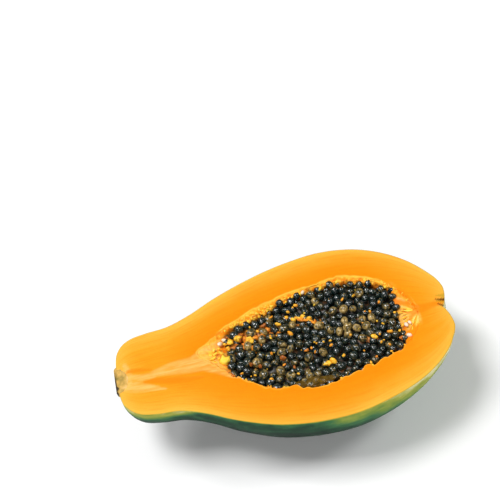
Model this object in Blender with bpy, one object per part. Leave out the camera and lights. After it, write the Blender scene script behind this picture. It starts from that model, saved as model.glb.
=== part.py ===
"""Half a papaya, cut from the stem to the blossom end and lying on its skin with the cut face up.

Metres, +Z up. X runs along the fruit from the stem (-X) to the blossom end (+X). The origin is under the
middle of the fruit's box, on the table. Three solids: the flesh with its skin, the heap of seeds in the
cavity, and the woody stub of the stem in the neck.
"""

import math

import bmesh
import bpy
import numpy as np
from mathutils import Euler, Matrix, Vector

MM = 0.001
WELD = 0.01 * MM  # points nearer than this are one point

# The whole fruit
LENGTH = 229 * MM  # stem stub to the tips of the lobes at the blossom end
FACE_HEIGHT = 64 * MM  # the cut face above the table
STUB_PROUD = 1.2 * MM  # how far the stub stands out of the neck's end

# Distance from the neck's end, then half-widths of the cut face on the far side (+Y) and the near side
# (-Y), and the depth of the fruit below the cut face
SKIN_STATIONS = np.array([
    (0.0, 0.0, 0.0, 0.0),
    (1.0, 17.0, 15.0, 19.0),
    (5.0, 26.5, 23.5, 28.5),
    (12.0, 31.5, 29.2, 34.5),
    (24.0, 33.7, 32.2, 37.0),
    (40.0, 35.2, 34.0, 39.3),
    (55.0, 40.4, 39.9, 43.5),
    (75.0, 49.8, 50.5, 53.5),
    (100.0, 58.8, 60.3, 62.5),
    (125.0, 64.9, 64.8, 65.6),
    (150.0, 67.7, 65.1, 64.5),
    (175.0, 64.3, 59.7, 58.0),
    (195.0, 55.2, 52.0, 46.0),
    (210.0, 43.4, 42.2, 32.0),
    (220.0, 31.6, 32.0, 20.5),
    (226.0, 21.8, 22.0, 13.5),
    (229.6, 0.0, 0.0, 0.0),
]) * MM
LOBES = 5  # a papaya grows from five joined carpels, which show as broad ribs
LOBE_SHARE = (0.006, 0.045)  # rib height as a share of the radius, at the neck and at the blossom end
LOBE_TURN = math.radians(38)
NOTCH_RADIUS = 17 * MM  # where the lobes turn in to the blossom scar
NOTCH_DEPTH = 5.6 * MM
SKIN_STEPS = (46, 26)  # along the fruit, and round the half from one edge to the other

# The seed cavity: its ends, then the distance from its stem-side tip and its half-widths and depth.
# They are measured from a straight middle line that leans a little across the fruit.
CAVITY_X = (-57 * MM, 93 * MM)
CAVITY_MIDDLE_Y = (8.0 * MM, -1.0 * MM)
CAVITY_STATIONS = np.array([
    (0.0, 0.0, 0.0, 0.0),
    (12.0, 9.5, 14.0, 4.8),
    (27.0, 20.5, 27.5, 17.0),
    (39.0, 25.8, 35.0, 25.5),
    (52.0, 30.4, 39.9, 32.0),
    (69.0, 35.7, 41.8, 36.5),
    (86.0, 39.2, 41.2, 37.5),
    (103.0, 41.5, 36.2, 35.0),
    (119.0, 39.0, 31.2, 29.5),
    (133.0, 31.6, 25.0, 19.5),
    (141.0, 23.0, 18.5, 10.5),
    (147.0, 11.0, 11.0, 4.0),
    (150.0, 0.0, 0.0, 0.0),
]) * MM
WALL_POWER = 2.4  # above 2 makes the cavity's wall steeper at the rim than an ellipse
RIM_RIPPLE = (0.8 * MM, 3.5 * MM)  # the torn edge wavers by this much, and down to this depth
CAVITY_STEPS = (30, 12)

# The heap of seeds
GAP = 0.3 * MM  # between two solids that touch on the real fruit
WALL_CLEAR = 1.2 * MM  # from the seeds to the curved wall, which is made of flat facets
SEED_LENGTH = 5.7 * MM
SEED_SPREAD = 0.8 * MM  # a seed is at most this much longer or shorter
SEED_WIDTH = 0.9  # of its length
SEED_SPACING = 5.95 * MM
SEED_X = (-41.5 * MM, 86 * MM)
HEAP_EDGE = 3.4 * MM  # below the cut face, where the heap meets the wall
HEAP_CROWN = 1.0 * MM  # below the cut face, at the middle of the heap
FURROW_FROM = (-4 * MM, 29 * MM)  # the groove that parts the upper rows of seeds from the lower ones
FURROW_TO = (54 * MM, 6 * MM)
FURROW_WIDTH = 5 * MM
FURROW_DEPTH = 2.4 * MM
HUMMOCK = 0.8 * MM
SEED_SINK = 0.42  # the core lies this share of a seed's length under the seeds' tops
CORE_STEPS = (24, 10)
RANDOM_SEED = 7

# The stem stub, as a turned profile: distance inwards from its outer face, and radius
STUB_PROFILE = np.array([
    (0.9, 0.0),
    (0.6, 4.5),
    (0.0, 8.6),
    (0.9, 10.9),
    (3.6, 11.2),
    (6.8, 9.0),
    (8.8, 5.0),
    (9.4, 0.0),
]) * MM
STUB_SEGMENTS = 20

NECK_X = -LENGTH / 2 + STUB_PROUD
AXIS_Y = -1.05 * MM  # the near side is a little narrower, so the stem's axis is off the middle of the box


def smooth_curve(knots, values, at):
    """A cubic curve through the knots, whose slope at each knot comes from its neighbours."""
    slopes = np.gradient(values, knots)
    i = np.clip(np.searchsorted(knots, at, side="right") - 1, 0, len(knots) - 2)
    span = knots[i + 1] - knots[i]
    s = (at - knots[i]) / span
    start = (1 + 2 * s) * (1 - s) ** 2 * values[i] + s * (1 - s) ** 2 * span * slopes[i]
    end = s * s * (3 - 2 * s) * values[i + 1] - s * s * (1 - s) * span * slopes[i + 1]
    return start + end


def along(stations, t):
    """The stations' columns at t, which runs from 0 to 1 and slows down at both blunt ends."""
    length = stations[-1, 0]
    knots = np.arccos(1 - 2 * stations[:, 0] / length) / math.pi
    columns = [smooth_curve(knots, stations[:, c], t) for c in (1, 2, 3)]
    return [length * (1 - np.cos(math.pi * t)) / 2, *np.maximum(columns, 0.0)]


def skin_point(t, turn):
    """A point of the skin: turn is 0 on the far edge of the cut face, pi / 2 at the keel, pi on the near edge."""
    distance, far, near, depth = along(SKIN_STATIONS, t)
    height = LOBE_SHARE[0] + (LOBE_SHARE[1] - LOBE_SHARE[0]) * t**4
    rib = 1 + height * np.sin(turn) ** 2 * np.cos(LOBES * turn + LOBE_TURN)
    y = np.where(np.cos(turn) > 0, far, near) * np.cos(turn) * rib
    down = depth * np.sin(turn) * rib
    inside = np.clip(1 - np.hypot(y, down) / NOTCH_RADIUS, 0, 1) * (t > 0.5)
    x = NECK_X + distance - NOTCH_DEPTH * inside**1.4
    return np.stack([x, AXIS_Y + y, FACE_HEIGHT - down], axis=-1)


def cavity_middle(x):
    """The cavity's middle line, as y."""
    share = (x - CAVITY_X[0]) / (CAVITY_X[1] - CAVITY_X[0])
    return AXIS_Y + CAVITY_MIDDLE_Y[0] + share * (CAVITY_MIDDLE_Y[1] - CAVITY_MIDDLE_Y[0])


def cavity_point(t, turn):
    """A point of the cavity's wall, with turn as in skin_point."""
    distance, far, near, depth = along(CAVITY_STATIONS, t)
    x = CAVITY_X[0] + distance
    side = np.sign(np.cos(turn)) * np.abs(np.cos(turn)) ** (2 / WALL_POWER)
    down = depth * np.abs(np.sin(turn)) ** (2 / WALL_POWER)
    ripple = RIM_RIPPLE[0] * np.sin(29 * t + 2 * side) * np.sin(math.pi * t)
    ripple = ripple * np.clip(1 - down / RIM_RIPPLE[1], 0, 1)
    across = np.where(np.cos(turn) > 0, far, near) + ripple
    return np.stack([x, cavity_middle(x) + across * side, FACE_HEIGHT - down], axis=-1)


def cavity_reach(x, depth_below, side):
    """How far the wall is from the middle line at x, that depth below the cut face, on side +1 or -1."""
    share = np.clip((x - CAVITY_X[0]) / (CAVITY_X[1] - CAVITY_X[0]), 0, 1)
    _, far, near, depth = along(CAVITY_STATIONS, np.arccos(1 - 2 * share) / math.pi)
    left = np.clip(1 - (depth_below / np.maximum(depth, MM)) ** WALL_POWER, 0, 1)
    return np.where(side > 0, far, near) * left ** (1 / WALL_POWER)


def heap_top(x, y):
    """The height of the heap's surface: a low crown, a furrow across it and a few shallow hummocks."""
    reach = np.maximum(cavity_reach(x, HEAP_EDGE, np.sign(y - cavity_middle(x))), MM)
    out = np.clip(np.abs(y - cavity_middle(x)) / reach, 0, 1)
    ends = np.clip(np.abs(2 * (x - SEED_X[0]) / (SEED_X[1] - SEED_X[0]) - 1), 0, 1)
    low = HEAP_CROWN + (HEAP_EDGE - HEAP_CROWN) * np.maximum(out**2.5, ends**4)
    start, end = np.array(FURROW_FROM), np.array(FURROW_TO)
    run = (end - start) / np.linalg.norm(end - start)
    forward = (x - start[0]) * run[0] + (y - start[1]) * run[1]
    aside = (x - start[0]) * run[1] - (y - start[1]) * run[0]
    past = np.maximum(0, np.abs(forward - 0.5 * np.linalg.norm(end - start)) - 0.5 * np.linalg.norm(end - start))
    furrow = FURROW_DEPTH * np.exp(-((aside / FURROW_WIDTH) ** 2) - (past / FURROW_WIDTH) ** 2)
    hummocks = HUMMOCK * np.sin(x / (9 * MM)) * np.sin(y / (7 * MM) + 1.0) * (1 - np.maximum(out, ends))
    return FACE_HEIGHT - low - furrow + hummocks


def seed_places():
    """Centres and radii of the top layer of seeds: a jittered hexagonal grid, then pushed apart until it fits."""
    draw = np.random.default_rng(RANDOM_SEED)
    columns = np.arange(SEED_X[0], SEED_X[1], SEED_SPACING)
    rows = np.arange(-45 * MM, 48 * MM, SEED_SPACING * math.sqrt(3) / 2)
    x, y = np.meshgrid(columns, rows)
    x = x + 0.5 * SEED_SPACING * (np.arange(len(rows)) % 2)[:, None]
    x = (x + draw.uniform(-0.2, 0.2, x.shape) * SEED_SPACING).ravel()
    y = (y + draw.uniform(-0.2, 0.2, y.shape) * SEED_SPACING).ravel()
    radius = (SEED_LENGTH + draw.uniform(-1, 1, len(x)) * SEED_SPREAD) / 2
    lift = draw.uniform(-0.8, 0.8, len(x)) * MM

    def room(px, py, r):
        side = np.sign(py - cavity_middle(px))
        wall = cavity_reach(px, HEAP_EDGE + 1.5 * r, side) - r - WALL_CLEAR
        ends = np.minimum(px - SEED_X[0], SEED_X[1] - px)
        return np.minimum(wall - np.abs(py - cavity_middle(px)), ends - r)

    kept = room(x, y, radius) > -0.6 * MM
    x, y, radius, lift = x[kept], y[kept], radius[kept], lift[kept]
    for _ in range(80):
        z = heap_top(x, y) - radius + lift
        place = np.stack([x, y, z], axis=1)
        apart = place[:, None] - place[None]
        far = np.linalg.norm(apart, axis=2) + np.eye(len(place))
        push = np.maximum(0, radius[:, None] + radius[None] - far)
        np.fill_diagonal(push, 0)
        shift = 0.35 * (apart / far[..., None] * push[..., None]).sum(axis=1)
        x = np.clip(x + shift[:, 0], SEED_X[0] + radius, SEED_X[1] - radius)
        y = y + shift[:, 1]
        over = np.maximum(0, -room(x, y, radius))
        y = y - over * np.sign(y - cavity_middle(x))
    return np.stack([x, y, heap_top(x, y) - radius + lift], axis=1), radius


def new_object(name, mesh, material):
    made = bpy.data.objects.new(name, mesh)
    bpy.context.scene.collection.objects.link(made)
    if material:
        mesh.materials.append(material)
    return made


def finish_material(name, colour, roughness):
    material = bpy.data.materials.new(name)
    material.use_nodes = True
    shader = material.node_tree.nodes["Principled BSDF"]
    shader.inputs["Base Color"].default_value = (*colour, 1.0)
    shader.inputs["Roughness"].default_value = roughness
    shader.inputs["Metallic"].default_value = 0.0
    return material


def loft(sections):
    """A bmesh of closed cross-sections joined by quads, with a flat cap on each end."""
    mesh = bmesh.new()
    rings = [[mesh.verts.new(p) for p in section] for section in sections]
    for a, b in zip(rings, rings[1:]):
        for i in range(len(a)):
            j = (i + 1) % len(a)
            mesh.faces.new((a[i], a[j], b[j], b[i]))
    mesh.faces.new(list(reversed(rings[0])))
    mesh.faces.new(rings[-1])
    bmesh.ops.remove_doubles(mesh, verts=mesh.verts, dist=WELD)
    bmesh.ops.dissolve_degenerate(mesh, edges=mesh.edges, dist=WELD)
    bmesh.ops.recalc_face_normals(mesh, faces=mesh.faces)
    return mesh


def to_mesh(shape, name):
    mesh = bpy.data.meshes.new(name)
    shape.to_mesh(mesh)
    shape.free()
    return mesh


def cut(target, cutter):
    cutter.hide_render = True
    cutter.display_type = "WIRE"
    boolean = target.modifiers.new(cutter.name, "BOOLEAN")
    boolean.operation = "DIFFERENCE"
    boolean.solver = "EXACT"
    boolean.object = cutter


def flesh_body(material):
    """The half fruit: its skin as a sheet, trimmed flat under the belly, then closed by the cut face."""
    steps, turns = SKIN_STEPS
    turn = np.linspace(0, math.pi, turns + 1)
    shape = bmesh.new()
    rows = []
    for t in np.linspace(0, 1, steps + 1):
        rows.append([shape.verts.new(p) for p in skin_point(np.full_like(turn, t), turn)])
    for a, b in zip(rows, rows[1:]):
        for i in range(turns):
            shape.faces.new((a[i], a[i + 1], b[i + 1], b[i]))
    bmesh.ops.remove_doubles(shape, verts=shape.verts, dist=WELD)
    everything = shape.verts[:] + shape.edges[:] + shape.faces[:]
    bmesh.ops.bisect_plane(shape, geom=everything, plane_no=(0, 0, -1), clear_outer=True)
    bmesh.ops.holes_fill(shape, edges=[edge for edge in shape.edges if edge.is_boundary])
    bmesh.ops.recalc_face_normals(shape, faces=shape.faces)
    return new_object("papaya_half", to_mesh(shape, "papaya_half"), material)


def cavity_cutter():
    """The cavity's hollow, carried straight up past the cut face."""
    steps, turns = CAVITY_STEPS
    turn = np.linspace(0, math.pi, turns + 1)
    above = 12 * MM
    sections = []
    for t in np.linspace(0.02, 0.98, steps):
        wall = cavity_point(np.full_like(turn, t), turn)
        lid = wall[[-1, 0]] + np.array([0, 0, above])
        sections.append(np.concatenate([wall, lid]))
    return new_object("cavity_cutter", to_mesh(loft(sections), "cavity_cutter"), None)


def stub_shape(grow, outwards):
    """The stub's profile turned half round below the cut face, or all round and longer for its pocket."""
    profile = STUB_PROFILE.copy()
    profile[:, 0] = np.where(profile[:, 0] > 2 * MM, profile[:, 0] + grow, profile[:, 0] - outwards)
    profile[1:-1, 1] += grow
    x = -LENGTH / 2 + profile[:, 0]
    sweep = 2 * math.pi if grow else math.pi
    count = STUB_SEGMENTS * (2 if grow else 1)
    angles = np.linspace(0, sweep, count + 1)
    shape = bmesh.new()
    rows = []
    for a in angles:
        y = AXIS_Y + profile[:, 1] * math.cos(a)
        z = FACE_HEIGHT - profile[:, 1] * math.sin(a)
        rows.append([shape.verts.new(p) for p in np.stack([x, y, z], axis=1)])
    for a, b in zip(rows, rows[1:]):
        for i in range(len(profile) - 1):
            shape.faces.new((a[i], a[i + 1], b[i + 1], b[i]))
    if not grow:
        shape.faces.new(rows[0][::-1] + rows[-1][1:-1])
    bmesh.ops.remove_doubles(shape, verts=shape.verts, dist=WELD)
    bmesh.ops.dissolve_degenerate(shape, edges=shape.edges, dist=WELD)
    bmesh.ops.recalc_face_normals(shape, faces=shape.faces)
    return shape


def heap_core(material):
    """The packed mass under the top layer of seeds: the cavity's form, a gap smaller, up to the seeds' middles."""
    steps, turns = CORE_STEPS
    across = np.linspace(1, -1, turns + 1)
    sections = []
    for x in np.linspace(SEED_X[0], SEED_X[1], steps):
        middle = cavity_middle(x)
        edge = HEAP_EDGE + SEED_SINK * SEED_LENGTH
        far = cavity_reach(x, edge, 1) - WALL_CLEAR
        near = cavity_reach(x, edge, -1) - WALL_CLEAR
        y = middle + np.where(across > 0, far, near) * across
        top = heap_top(x, y) - SEED_SINK * SEED_LENGTH
        share = (x - CAVITY_X[0]) / (CAVITY_X[1] - CAVITY_X[0])
        t = math.acos(1 - 2 * share) / math.pi
        _, wide_far, wide_near, depth = along(CAVITY_STATIONS, np.array([t]))
        wide = np.where(across > 0, wide_far, wide_near)
        left = np.clip(1 - (np.abs(y - middle) / (wide - WALL_CLEAR)) ** WALL_POWER, 0, 1)
        floor = FACE_HEIGHT - (depth - WALL_CLEAR) * left ** (1 / WALL_POWER)
        floor = np.minimum(floor, top - 0.5 * MM)
        upper = np.stack([np.full_like(y, x), y, top], axis=1)
        lower = np.stack([np.full_like(y, x), y, floor], axis=1)[::-1]
        sections.append(np.concatenate([upper, lower]))
    return new_object("seed_heap", to_mesh(loft(sections), "seed_heap"), material)


def seed_mesh():
    """One seed of unit half-length, a little longer than wide, with twenty triangles."""
    shape = bmesh.new()
    bmesh.ops.create_icosphere(shape, subdivisions=1, radius=1.0)
    bmesh.ops.scale(shape, vec=(SEED_WIDTH, SEED_WIDTH, 1.0), verts=shape.verts)
    return to_mesh(shape, "seed")


def add_seeds(core):
    """Fuses the top layer of seeds to the core with one union."""
    draw = np.random.default_rng(RANDOM_SEED + 1)
    heap = bpy.data.collections.new("seeds")
    bpy.context.scene.collection.children.link(heap)
    shared = seed_mesh()
    for place, radius in zip(*seed_places()):
        seed = bpy.data.objects.new("seed", shared)
        turn = Euler(draw.uniform(0, 2 * math.pi, 3)).to_matrix().to_4x4()
        seed.matrix_world = Matrix.Translation(Vector(place)) @ turn @ Matrix.Scale(radius, 4)
        heap.objects.link(seed)
    union = core.modifiers.new("seeds", "BOOLEAN")
    union.operation = "UNION"
    union.solver = "MANIFOLD"
    union.operand_type = "COLLECTION"
    union.collection = heap
    bpy.context.view_layer.update()
    graph = bpy.context.evaluated_depsgraph_get()
    shape = bmesh.new()
    shape.from_mesh(core.evaluated_get(graph).to_mesh())
    bmesh.ops.remove_doubles(shape, verts=shape.verts, dist=WELD / 10)
    core.modifiers.clear()
    shape.to_mesh(core.data)
    shape.free()
    for seed in list(heap.objects):
        bpy.data.objects.remove(seed)
    bpy.data.collections.remove(heap)


def shade(made, angle):
    made.data.shade_smooth()
    made.data.set_sharp_from_angle(angle=math.radians(angle))


def main():
    for old in list(bpy.data.objects):
        bpy.data.objects.remove(old)
    flesh = finish_material("papaya_flesh", (0.96, 0.38, 0.02), 0.45)
    seed_coat = finish_material("seed_coat", (0.03, 0.032, 0.024), 0.3)
    wood = finish_material("stem_wood", (0.52, 0.33, 0.09), 0.7)

    body = flesh_body(flesh)
    cut(body, cavity_cutter())
    pocket = new_object("stub_pocket", to_mesh(stub_shape(GAP, 20 * MM), "stub_pocket"), None)
    cut(body, pocket)
    shade(body, 40)

    heap = heap_core(seed_coat)
    add_seeds(heap)
    shade(heap, 60)

    stub = new_object("stem_stub", to_mesh(stub_shape(0.0, 0.0), "stem_stub"), wood)
    shade(stub, 40)


main()
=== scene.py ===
# %% [markdown]
# # Half a papaya, cut side up
#
# A papaya grows from five joined carpels round one large cavity full of seeds. Cut from the stem to the
# blossom end, it shows orange flesh inside a thin green rind, and a heap of wet seeds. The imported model
# gives three solids: the half fruit, the heap of seeds and the stub of the stem. This notebook makes the
# surfaces that the eye meets and lays them exactly over those solids.

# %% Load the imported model
import itertools
import math

import bmesh
import bpy
import numpy as np
from mathutils import Matrix, Vector


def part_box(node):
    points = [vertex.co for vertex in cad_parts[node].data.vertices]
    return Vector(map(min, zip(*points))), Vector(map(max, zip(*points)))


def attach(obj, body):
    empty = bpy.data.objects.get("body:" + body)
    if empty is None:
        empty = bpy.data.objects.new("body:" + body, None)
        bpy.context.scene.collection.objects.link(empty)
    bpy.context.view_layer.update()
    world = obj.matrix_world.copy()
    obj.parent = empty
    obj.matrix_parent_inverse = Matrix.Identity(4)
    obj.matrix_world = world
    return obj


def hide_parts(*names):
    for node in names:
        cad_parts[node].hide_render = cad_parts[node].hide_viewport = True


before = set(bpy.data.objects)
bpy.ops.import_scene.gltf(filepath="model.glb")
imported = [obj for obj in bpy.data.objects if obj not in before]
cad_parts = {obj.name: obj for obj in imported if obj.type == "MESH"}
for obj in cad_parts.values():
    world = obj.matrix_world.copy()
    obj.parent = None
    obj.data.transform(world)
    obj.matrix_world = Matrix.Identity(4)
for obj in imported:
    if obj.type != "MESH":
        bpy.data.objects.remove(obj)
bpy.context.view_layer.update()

print("nodes:", sorted(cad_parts))

# %% [markdown]
# ## Small helpers
#
# Shapes are worked out in millimetres, because a cook or a grower thinks in them, and turned to metres in
# one place. `value_noise` gives every surface its unevenness: it could come from Blender's own noise, but
# numpy works out a hundred thousand points at once and gives the same numbers each time.

# %% Millimetres and noise
MM = 0.001
CORNER_KEYS = np.array([73856093, 19349663, 83492791])  # large primes scatter neighbouring corners
SEED_KEY = 2654435761
MIXING = [(13, 1274126177), (11, 668265263)]  # bits to shift by and factor, in each round of mixing
LOW_BITS = 0x7FFFFFFF


def value_noise(place, size, seed=0):
    """Smooth random numbers from -1 to 1. Each corner of a lattice of that size has one number, and
    between corners they blend by s * s * (3 - 2 * s) along each axis."""
    grid = np.asarray(place, float) / size
    cell = np.floor(grid).astype(np.int64)
    s = grid - cell
    s = s * s * (3 - 2 * s)
    total = np.zeros(grid.shape[:-1])
    for corner in itertools.product((0, 1), repeat=3):
        weight = np.prod(np.where(corner, s, 1 - s), axis=-1)
        key = (cell + np.array(corner)) @ CORNER_KEYS + seed * SEED_KEY
        for shift, factor in MIXING:
            key = ((key ^ (key >> shift)) * factor) & LOW_BITS
        total += weight * (key / (LOW_BITS // 2) - 1)
    return total


sample = value_noise(np.stack([np.arange(500.0)] * 3, axis=1), 7.0)
print("noise runs from", round(float(sample.min()), 2), "to", round(float(sample.max()), 2))

# %% Grids and welding
SAME_PLACE = 0.002  # mm


def grid_quads(rows, columns, first=0):
    """The faces of a grid of points that are numbered row by row from first."""
    corner = first + np.arange(rows - 1)[:, None] * columns + np.arange(columns - 1)
    return np.stack([corner, corner + 1, corner + columns + 1, corner + columns], axis=-1).reshape(-1, 4)


def weld(grids):
    """Joins grids where they meet: points that fall in the same small cube become one point. A quad that
    loses a corner becomes a triangle, and one that loses two goes. Returns the points, the faces and the
    number of the grid that each point came from."""
    firsts = np.cumsum([0] + [grid.shape[0] * grid.shape[1] for grid in grids])
    quads = np.concatenate([grid_quads(*grid.shape[:2], first) for grid, first in zip(grids, firsts)])
    points = np.concatenate([grid.reshape(-1, 3) for grid in grids])
    origin = np.repeat(np.arange(len(grids)), np.diff(firsts))
    cube = np.round(points / SAME_PLACE).astype(np.int64)
    _, kept, index = np.unique(cube, axis=0, return_index=True, return_inverse=True)
    quads = index.reshape(-1)[quads]
    twin = quads == np.roll(quads, -1, axis=1)
    whole = quads[twin.sum(axis=1) == 0]
    pinched = twin.sum(axis=1) == 1
    triangles = quads[pinched][~twin[pinched]].reshape(-1, 3)
    return points[kept], whole.tolist() + triangles.tolist(), origin[kept]


print("3 by 4 points make", len(grid_quads(3, 4)), "faces")

# %% [markdown]
# A mesh can be built face by face with bmesh, or in one go from whole arrays. Arrays are quicker and keep
# the formula in sight. What a material must know about a point, such as its distance from the rind, is
# stored with the point as a named attribute.

# %% Mesh objects and stored numbers


def add_mesh(name, points, faces, material):
    """A smooth mesh object at the origin, from points in millimetres, with its faces turned outwards."""
    mesh = bpy.data.meshes.new(name)
    mesh.from_pydata(points * MM, [], faces)
    shape = bmesh.new()
    shape.from_mesh(mesh)
    bmesh.ops.recalc_face_normals(shape, faces=shape.faces)
    shape.to_mesh(mesh)
    shape.free()
    mesh.shade_smooth()
    mesh.materials.append(material)
    made = bpy.data.objects.new(name, mesh)
    bpy.context.scene.collection.objects.link(made)
    mesh.calc_loop_triangles()
    print(name, len(mesh.loop_triangles), "triangles")
    return made


def paint(made, **layers):
    """Stores one number or one vector for each point, for the material to read."""
    for name, values in layers.items():
        kind, key = ("FLOAT", "value") if values.ndim == 1 else ("FLOAT_VECTOR", "vector")
        layer = made.data.attributes.new(name, kind, "POINT")
        layer.data.foreach_set(key, values.astype(np.float32).ravel())


# %% [markdown]
# ## Colours and shader nodes
#
# Colours are read off the fruit as the screen shows them, in sRGB, while a shader counts light, so one
# function turns one into the other. A material is a small tree of nodes, and one function adds a node with
# its settings and its links, so a tree reads like a recipe.

# %% Colours


def linear(code):
    """An sRGB hex colour as linear red, green, blue and alpha: c / 12.92 up to 0.04045, and above that
    ((c + 0.055) / 1.055) ** 2.4."""
    parts = [int(code[i:i + 2], 16) / 255 for i in (1, 3, 5)]
    return (*[c / 12.92 if c <= 0.04045 else ((c + 0.055) / 1.055) ** 2.4 for c in parts], 1.0)


print("flesh orange as light:", [round(c, 3) for c in linear("#fc9717")])

# %% Nodes and materials


def node(tree, kind, inputs=None, stops=None, **settings):
    """Adds a node and returns it. Its kind is its type's name without ShaderNode, and settings are its
    properties. Inputs gives each named or numbered socket a number, an sRGB hex colour, one output to link,
    or a whole node, whose first output in use is linked. A colour ramp's stops are (place, hex colour)
    pairs. In a Mix node of colours, socket 0 is the share and 6 and 7 are the two colours."""
    made = tree.nodes.new("ShaderNode" + kind)
    for name, value in settings.items():
        setattr(made, name, value)
    for socket, value in (inputs or {}).items():
        if isinstance(value, bpy.types.Node):
            value = next(output for output in value.outputs if output.enabled)
        if isinstance(value, bpy.types.NodeSocket):
            tree.links.new(value, made.inputs[socket])
        else:
            made.inputs[socket].default_value = linear(value) if isinstance(value, str) else value
    if stops:
        ramp = made.color_ramp.elements
        ramp.remove(ramp[1])
        ramp[0].position = stops[0][0]
        ramp[0].color = linear(stops[0][1])
        for place, code in stops[1:]:
            ramp.new(place).color = linear(code)
    return made


def new_material(name):
    """An empty material and its node tree."""
    made = bpy.data.materials.new(name)
    made.use_nodes = True
    made.node_tree.nodes.clear()
    print("material", name)
    return made, made.node_tree


# %% [markdown]
# ## The camera
#
# The fruit lies on a table and the camera looks down on it from the front, a little under a metre away,
# with its horizon tilted. The view is set as a photographer would describe it: the point of the cut
# face that is aimed at, where in the picture that point shows, how far above the level the camera stands,
# and its roll. A Track To constraint would be shorter, but it can't hold a roll, so the rotation is worked
# out from three vectors.

# %% The camera
AIM = Vector((0.5, 0.25, 64.0)) * MM
AIM_PIXEL = (282.3, 341.8)
IMAGE_SIZE = 500
ELEVATION = math.radians(56)
ROLL = math.radians(-13.01)
DISTANCE = 0.929
LENS = 100.0
SENSOR = 36.0

back = Vector((0, -math.cos(ELEVATION), math.sin(ELEVATION)))
right = Vector((0, 0, 1)).cross(back).normalized()
level = Matrix((right, back.cross(right), back)).transposed()
focal = IMAGE_SIZE * LENS / SENSOR
half = IMAGE_SIZE / 2
ray = Vector((AIM_PIXEL[0] - half, half - AIM_PIXEL[1], -focal))
off_centre = ray.rotation_difference(Vector((0, 0, -1))).to_matrix()

camera_data = bpy.data.cameras.new("camera")
camera_data.lens = LENS
camera_data.sensor_width = SENSOR
camera_data.clip_start = 0.05
camera = bpy.data.objects.new("camera", camera_data)
turn = level @ Matrix.Rotation(ROLL, 3, "Z") @ off_centre
camera.matrix_world = Matrix.Translation(AIM + back * DISTANCE) @ turn.to_4x4()
bpy.context.scene.collection.objects.link(camera)
bpy.context.scene.camera = camera
print("camera at", [round(c, 3) for c in camera.location])

# %% [markdown]
# ## The form of the fruit
#
# The solid model describes the fruit by stations: distances from the neck's end, each with the half-width
# on the far side and on the near side, and the depth under the cut face. A smooth curve through the
# stations gives every section between them. The same stations are used here, so that the finer skin lies on
# the solid one, and a little unevenness is only ever taken away, so that nothing grows out of the solid.

# %% Stations of the skin
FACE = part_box("papaya_half")[1].z / MM
LENGTH = 229.0
NECK_X = -LENGTH / 2 + 1.2
AXIS_Y = -1.05
SKIN = np.array([  # distance, far half-width, near half-width and depth, mm
    (0.0, 0.0, 0.0, 0.0),
    (1.0, 17.0, 15.0, 19.0),
    (5.0, 26.5, 23.5, 28.5),
    (12.0, 31.5, 29.2, 34.5),
    (24.0, 33.7, 32.2, 37.0),
    (40.0, 35.2, 34.0, 39.3),
    (55.0, 40.4, 39.9, 43.5),
    (75.0, 49.8, 50.5, 53.5),
    (100.0, 58.8, 60.3, 62.5),
    (125.0, 64.9, 64.8, 65.6),
    (150.0, 67.7, 65.1, 64.5),
    (175.0, 64.3, 59.7, 58.0),
    (195.0, 55.2, 52.0, 46.0),
    (210.0, 43.4, 42.2, 32.0),
    (220.0, 31.6, 32.0, 20.5),
    (226.0, 21.8, 22.0, 13.5),
    (229.6, 0.0, 0.0, 0.0),
])
print("cut face at", round(FACE, 2), "mm,", len(SKIN), "stations")

# %% Stations of the seed cavity
CAVITY_X = (-57.0, 93.0)
CAVITY_MIDDLE = (8.0, -1.0)
CAVITY = np.array([  # distance from its neck end, far and near half-width and depth, mm
    (0.0, 0.0, 0.0, 0.0),
    (12.0, 9.5, 14.0, 4.8),
    (27.0, 20.5, 27.5, 17.0),
    (39.0, 25.8, 35.0, 25.5),
    (52.0, 30.4, 39.9, 32.0),
    (69.0, 35.7, 41.8, 36.5),
    (86.0, 39.2, 41.2, 37.5),
    (103.0, 41.5, 36.2, 35.0),
    (119.0, 39.0, 31.2, 29.5),
    (133.0, 31.6, 25.0, 19.5),
    (141.0, 23.0, 18.5, 10.5),
    (147.0, 11.0, 11.0, 4.0),
    (150.0, 0.0, 0.0, 0.0),
])
WALL_POWER = 2.4  # 2 makes an ellipse, and more makes fuller corners
print("cavity", CAVITY[-1, 0], "mm long,", CAVITY[:, 3].max(), "mm deep")

# %% Sections between the stations


def smooth_curve(knots, values, at):
    """Between two knots: the cubic that meets both values and both slopes, where a knot's slope is the
    slope of the line past its two neighbours."""
    slopes = np.gradient(values, knots)
    i = np.clip(np.searchsorted(knots, at, side="right") - 1, 0, len(knots) - 2)
    span = knots[i + 1] - knots[i]
    s = (at - knots[i]) / span
    start = (1 + 2 * s) * (1 - s) ** 2 * values[i] + s * (1 - s) ** 2 * span * slopes[i]
    end = s * s * (3 - 2 * s) * values[i + 1] - s * s * (1 - s) * span * slopes[i + 1]
    return start + end


def section(stations, t):
    """Distance along the fruit, far and near half-width, and depth, at t from 0 to 1. The distance is
    length * (1 - cos(pi * t)) / 2, which takes short steps at both blunt ends."""
    length = stations[-1, 0]
    knots = np.arccos(1 - 2 * stations[:, 0] / length) / math.pi
    columns = [smooth_curve(knots, stations[:, c], t) for c in (1, 2, 3)]
    return [length * (1 - np.cos(math.pi * t)) / 2, *np.maximum(columns, 0.0)]


print("half way along, half-widths and depth, mm:", [round(float(v), 1) for v in section(SKIN, 0.5)[1:]])

# %% The middle line and the walls of the cavity


def cavity_middle(x):
    """The cavity's middle line leans a little across the fruit: y falls evenly from one end to the other."""
    share = (x - CAVITY_X[0]) / (CAVITY_X[1] - CAVITY_X[0])
    return AXIS_Y + CAVITY_MIDDLE[0] + share * (CAVITY_MIDDLE[1] - CAVITY_MIDDLE[0])


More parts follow.
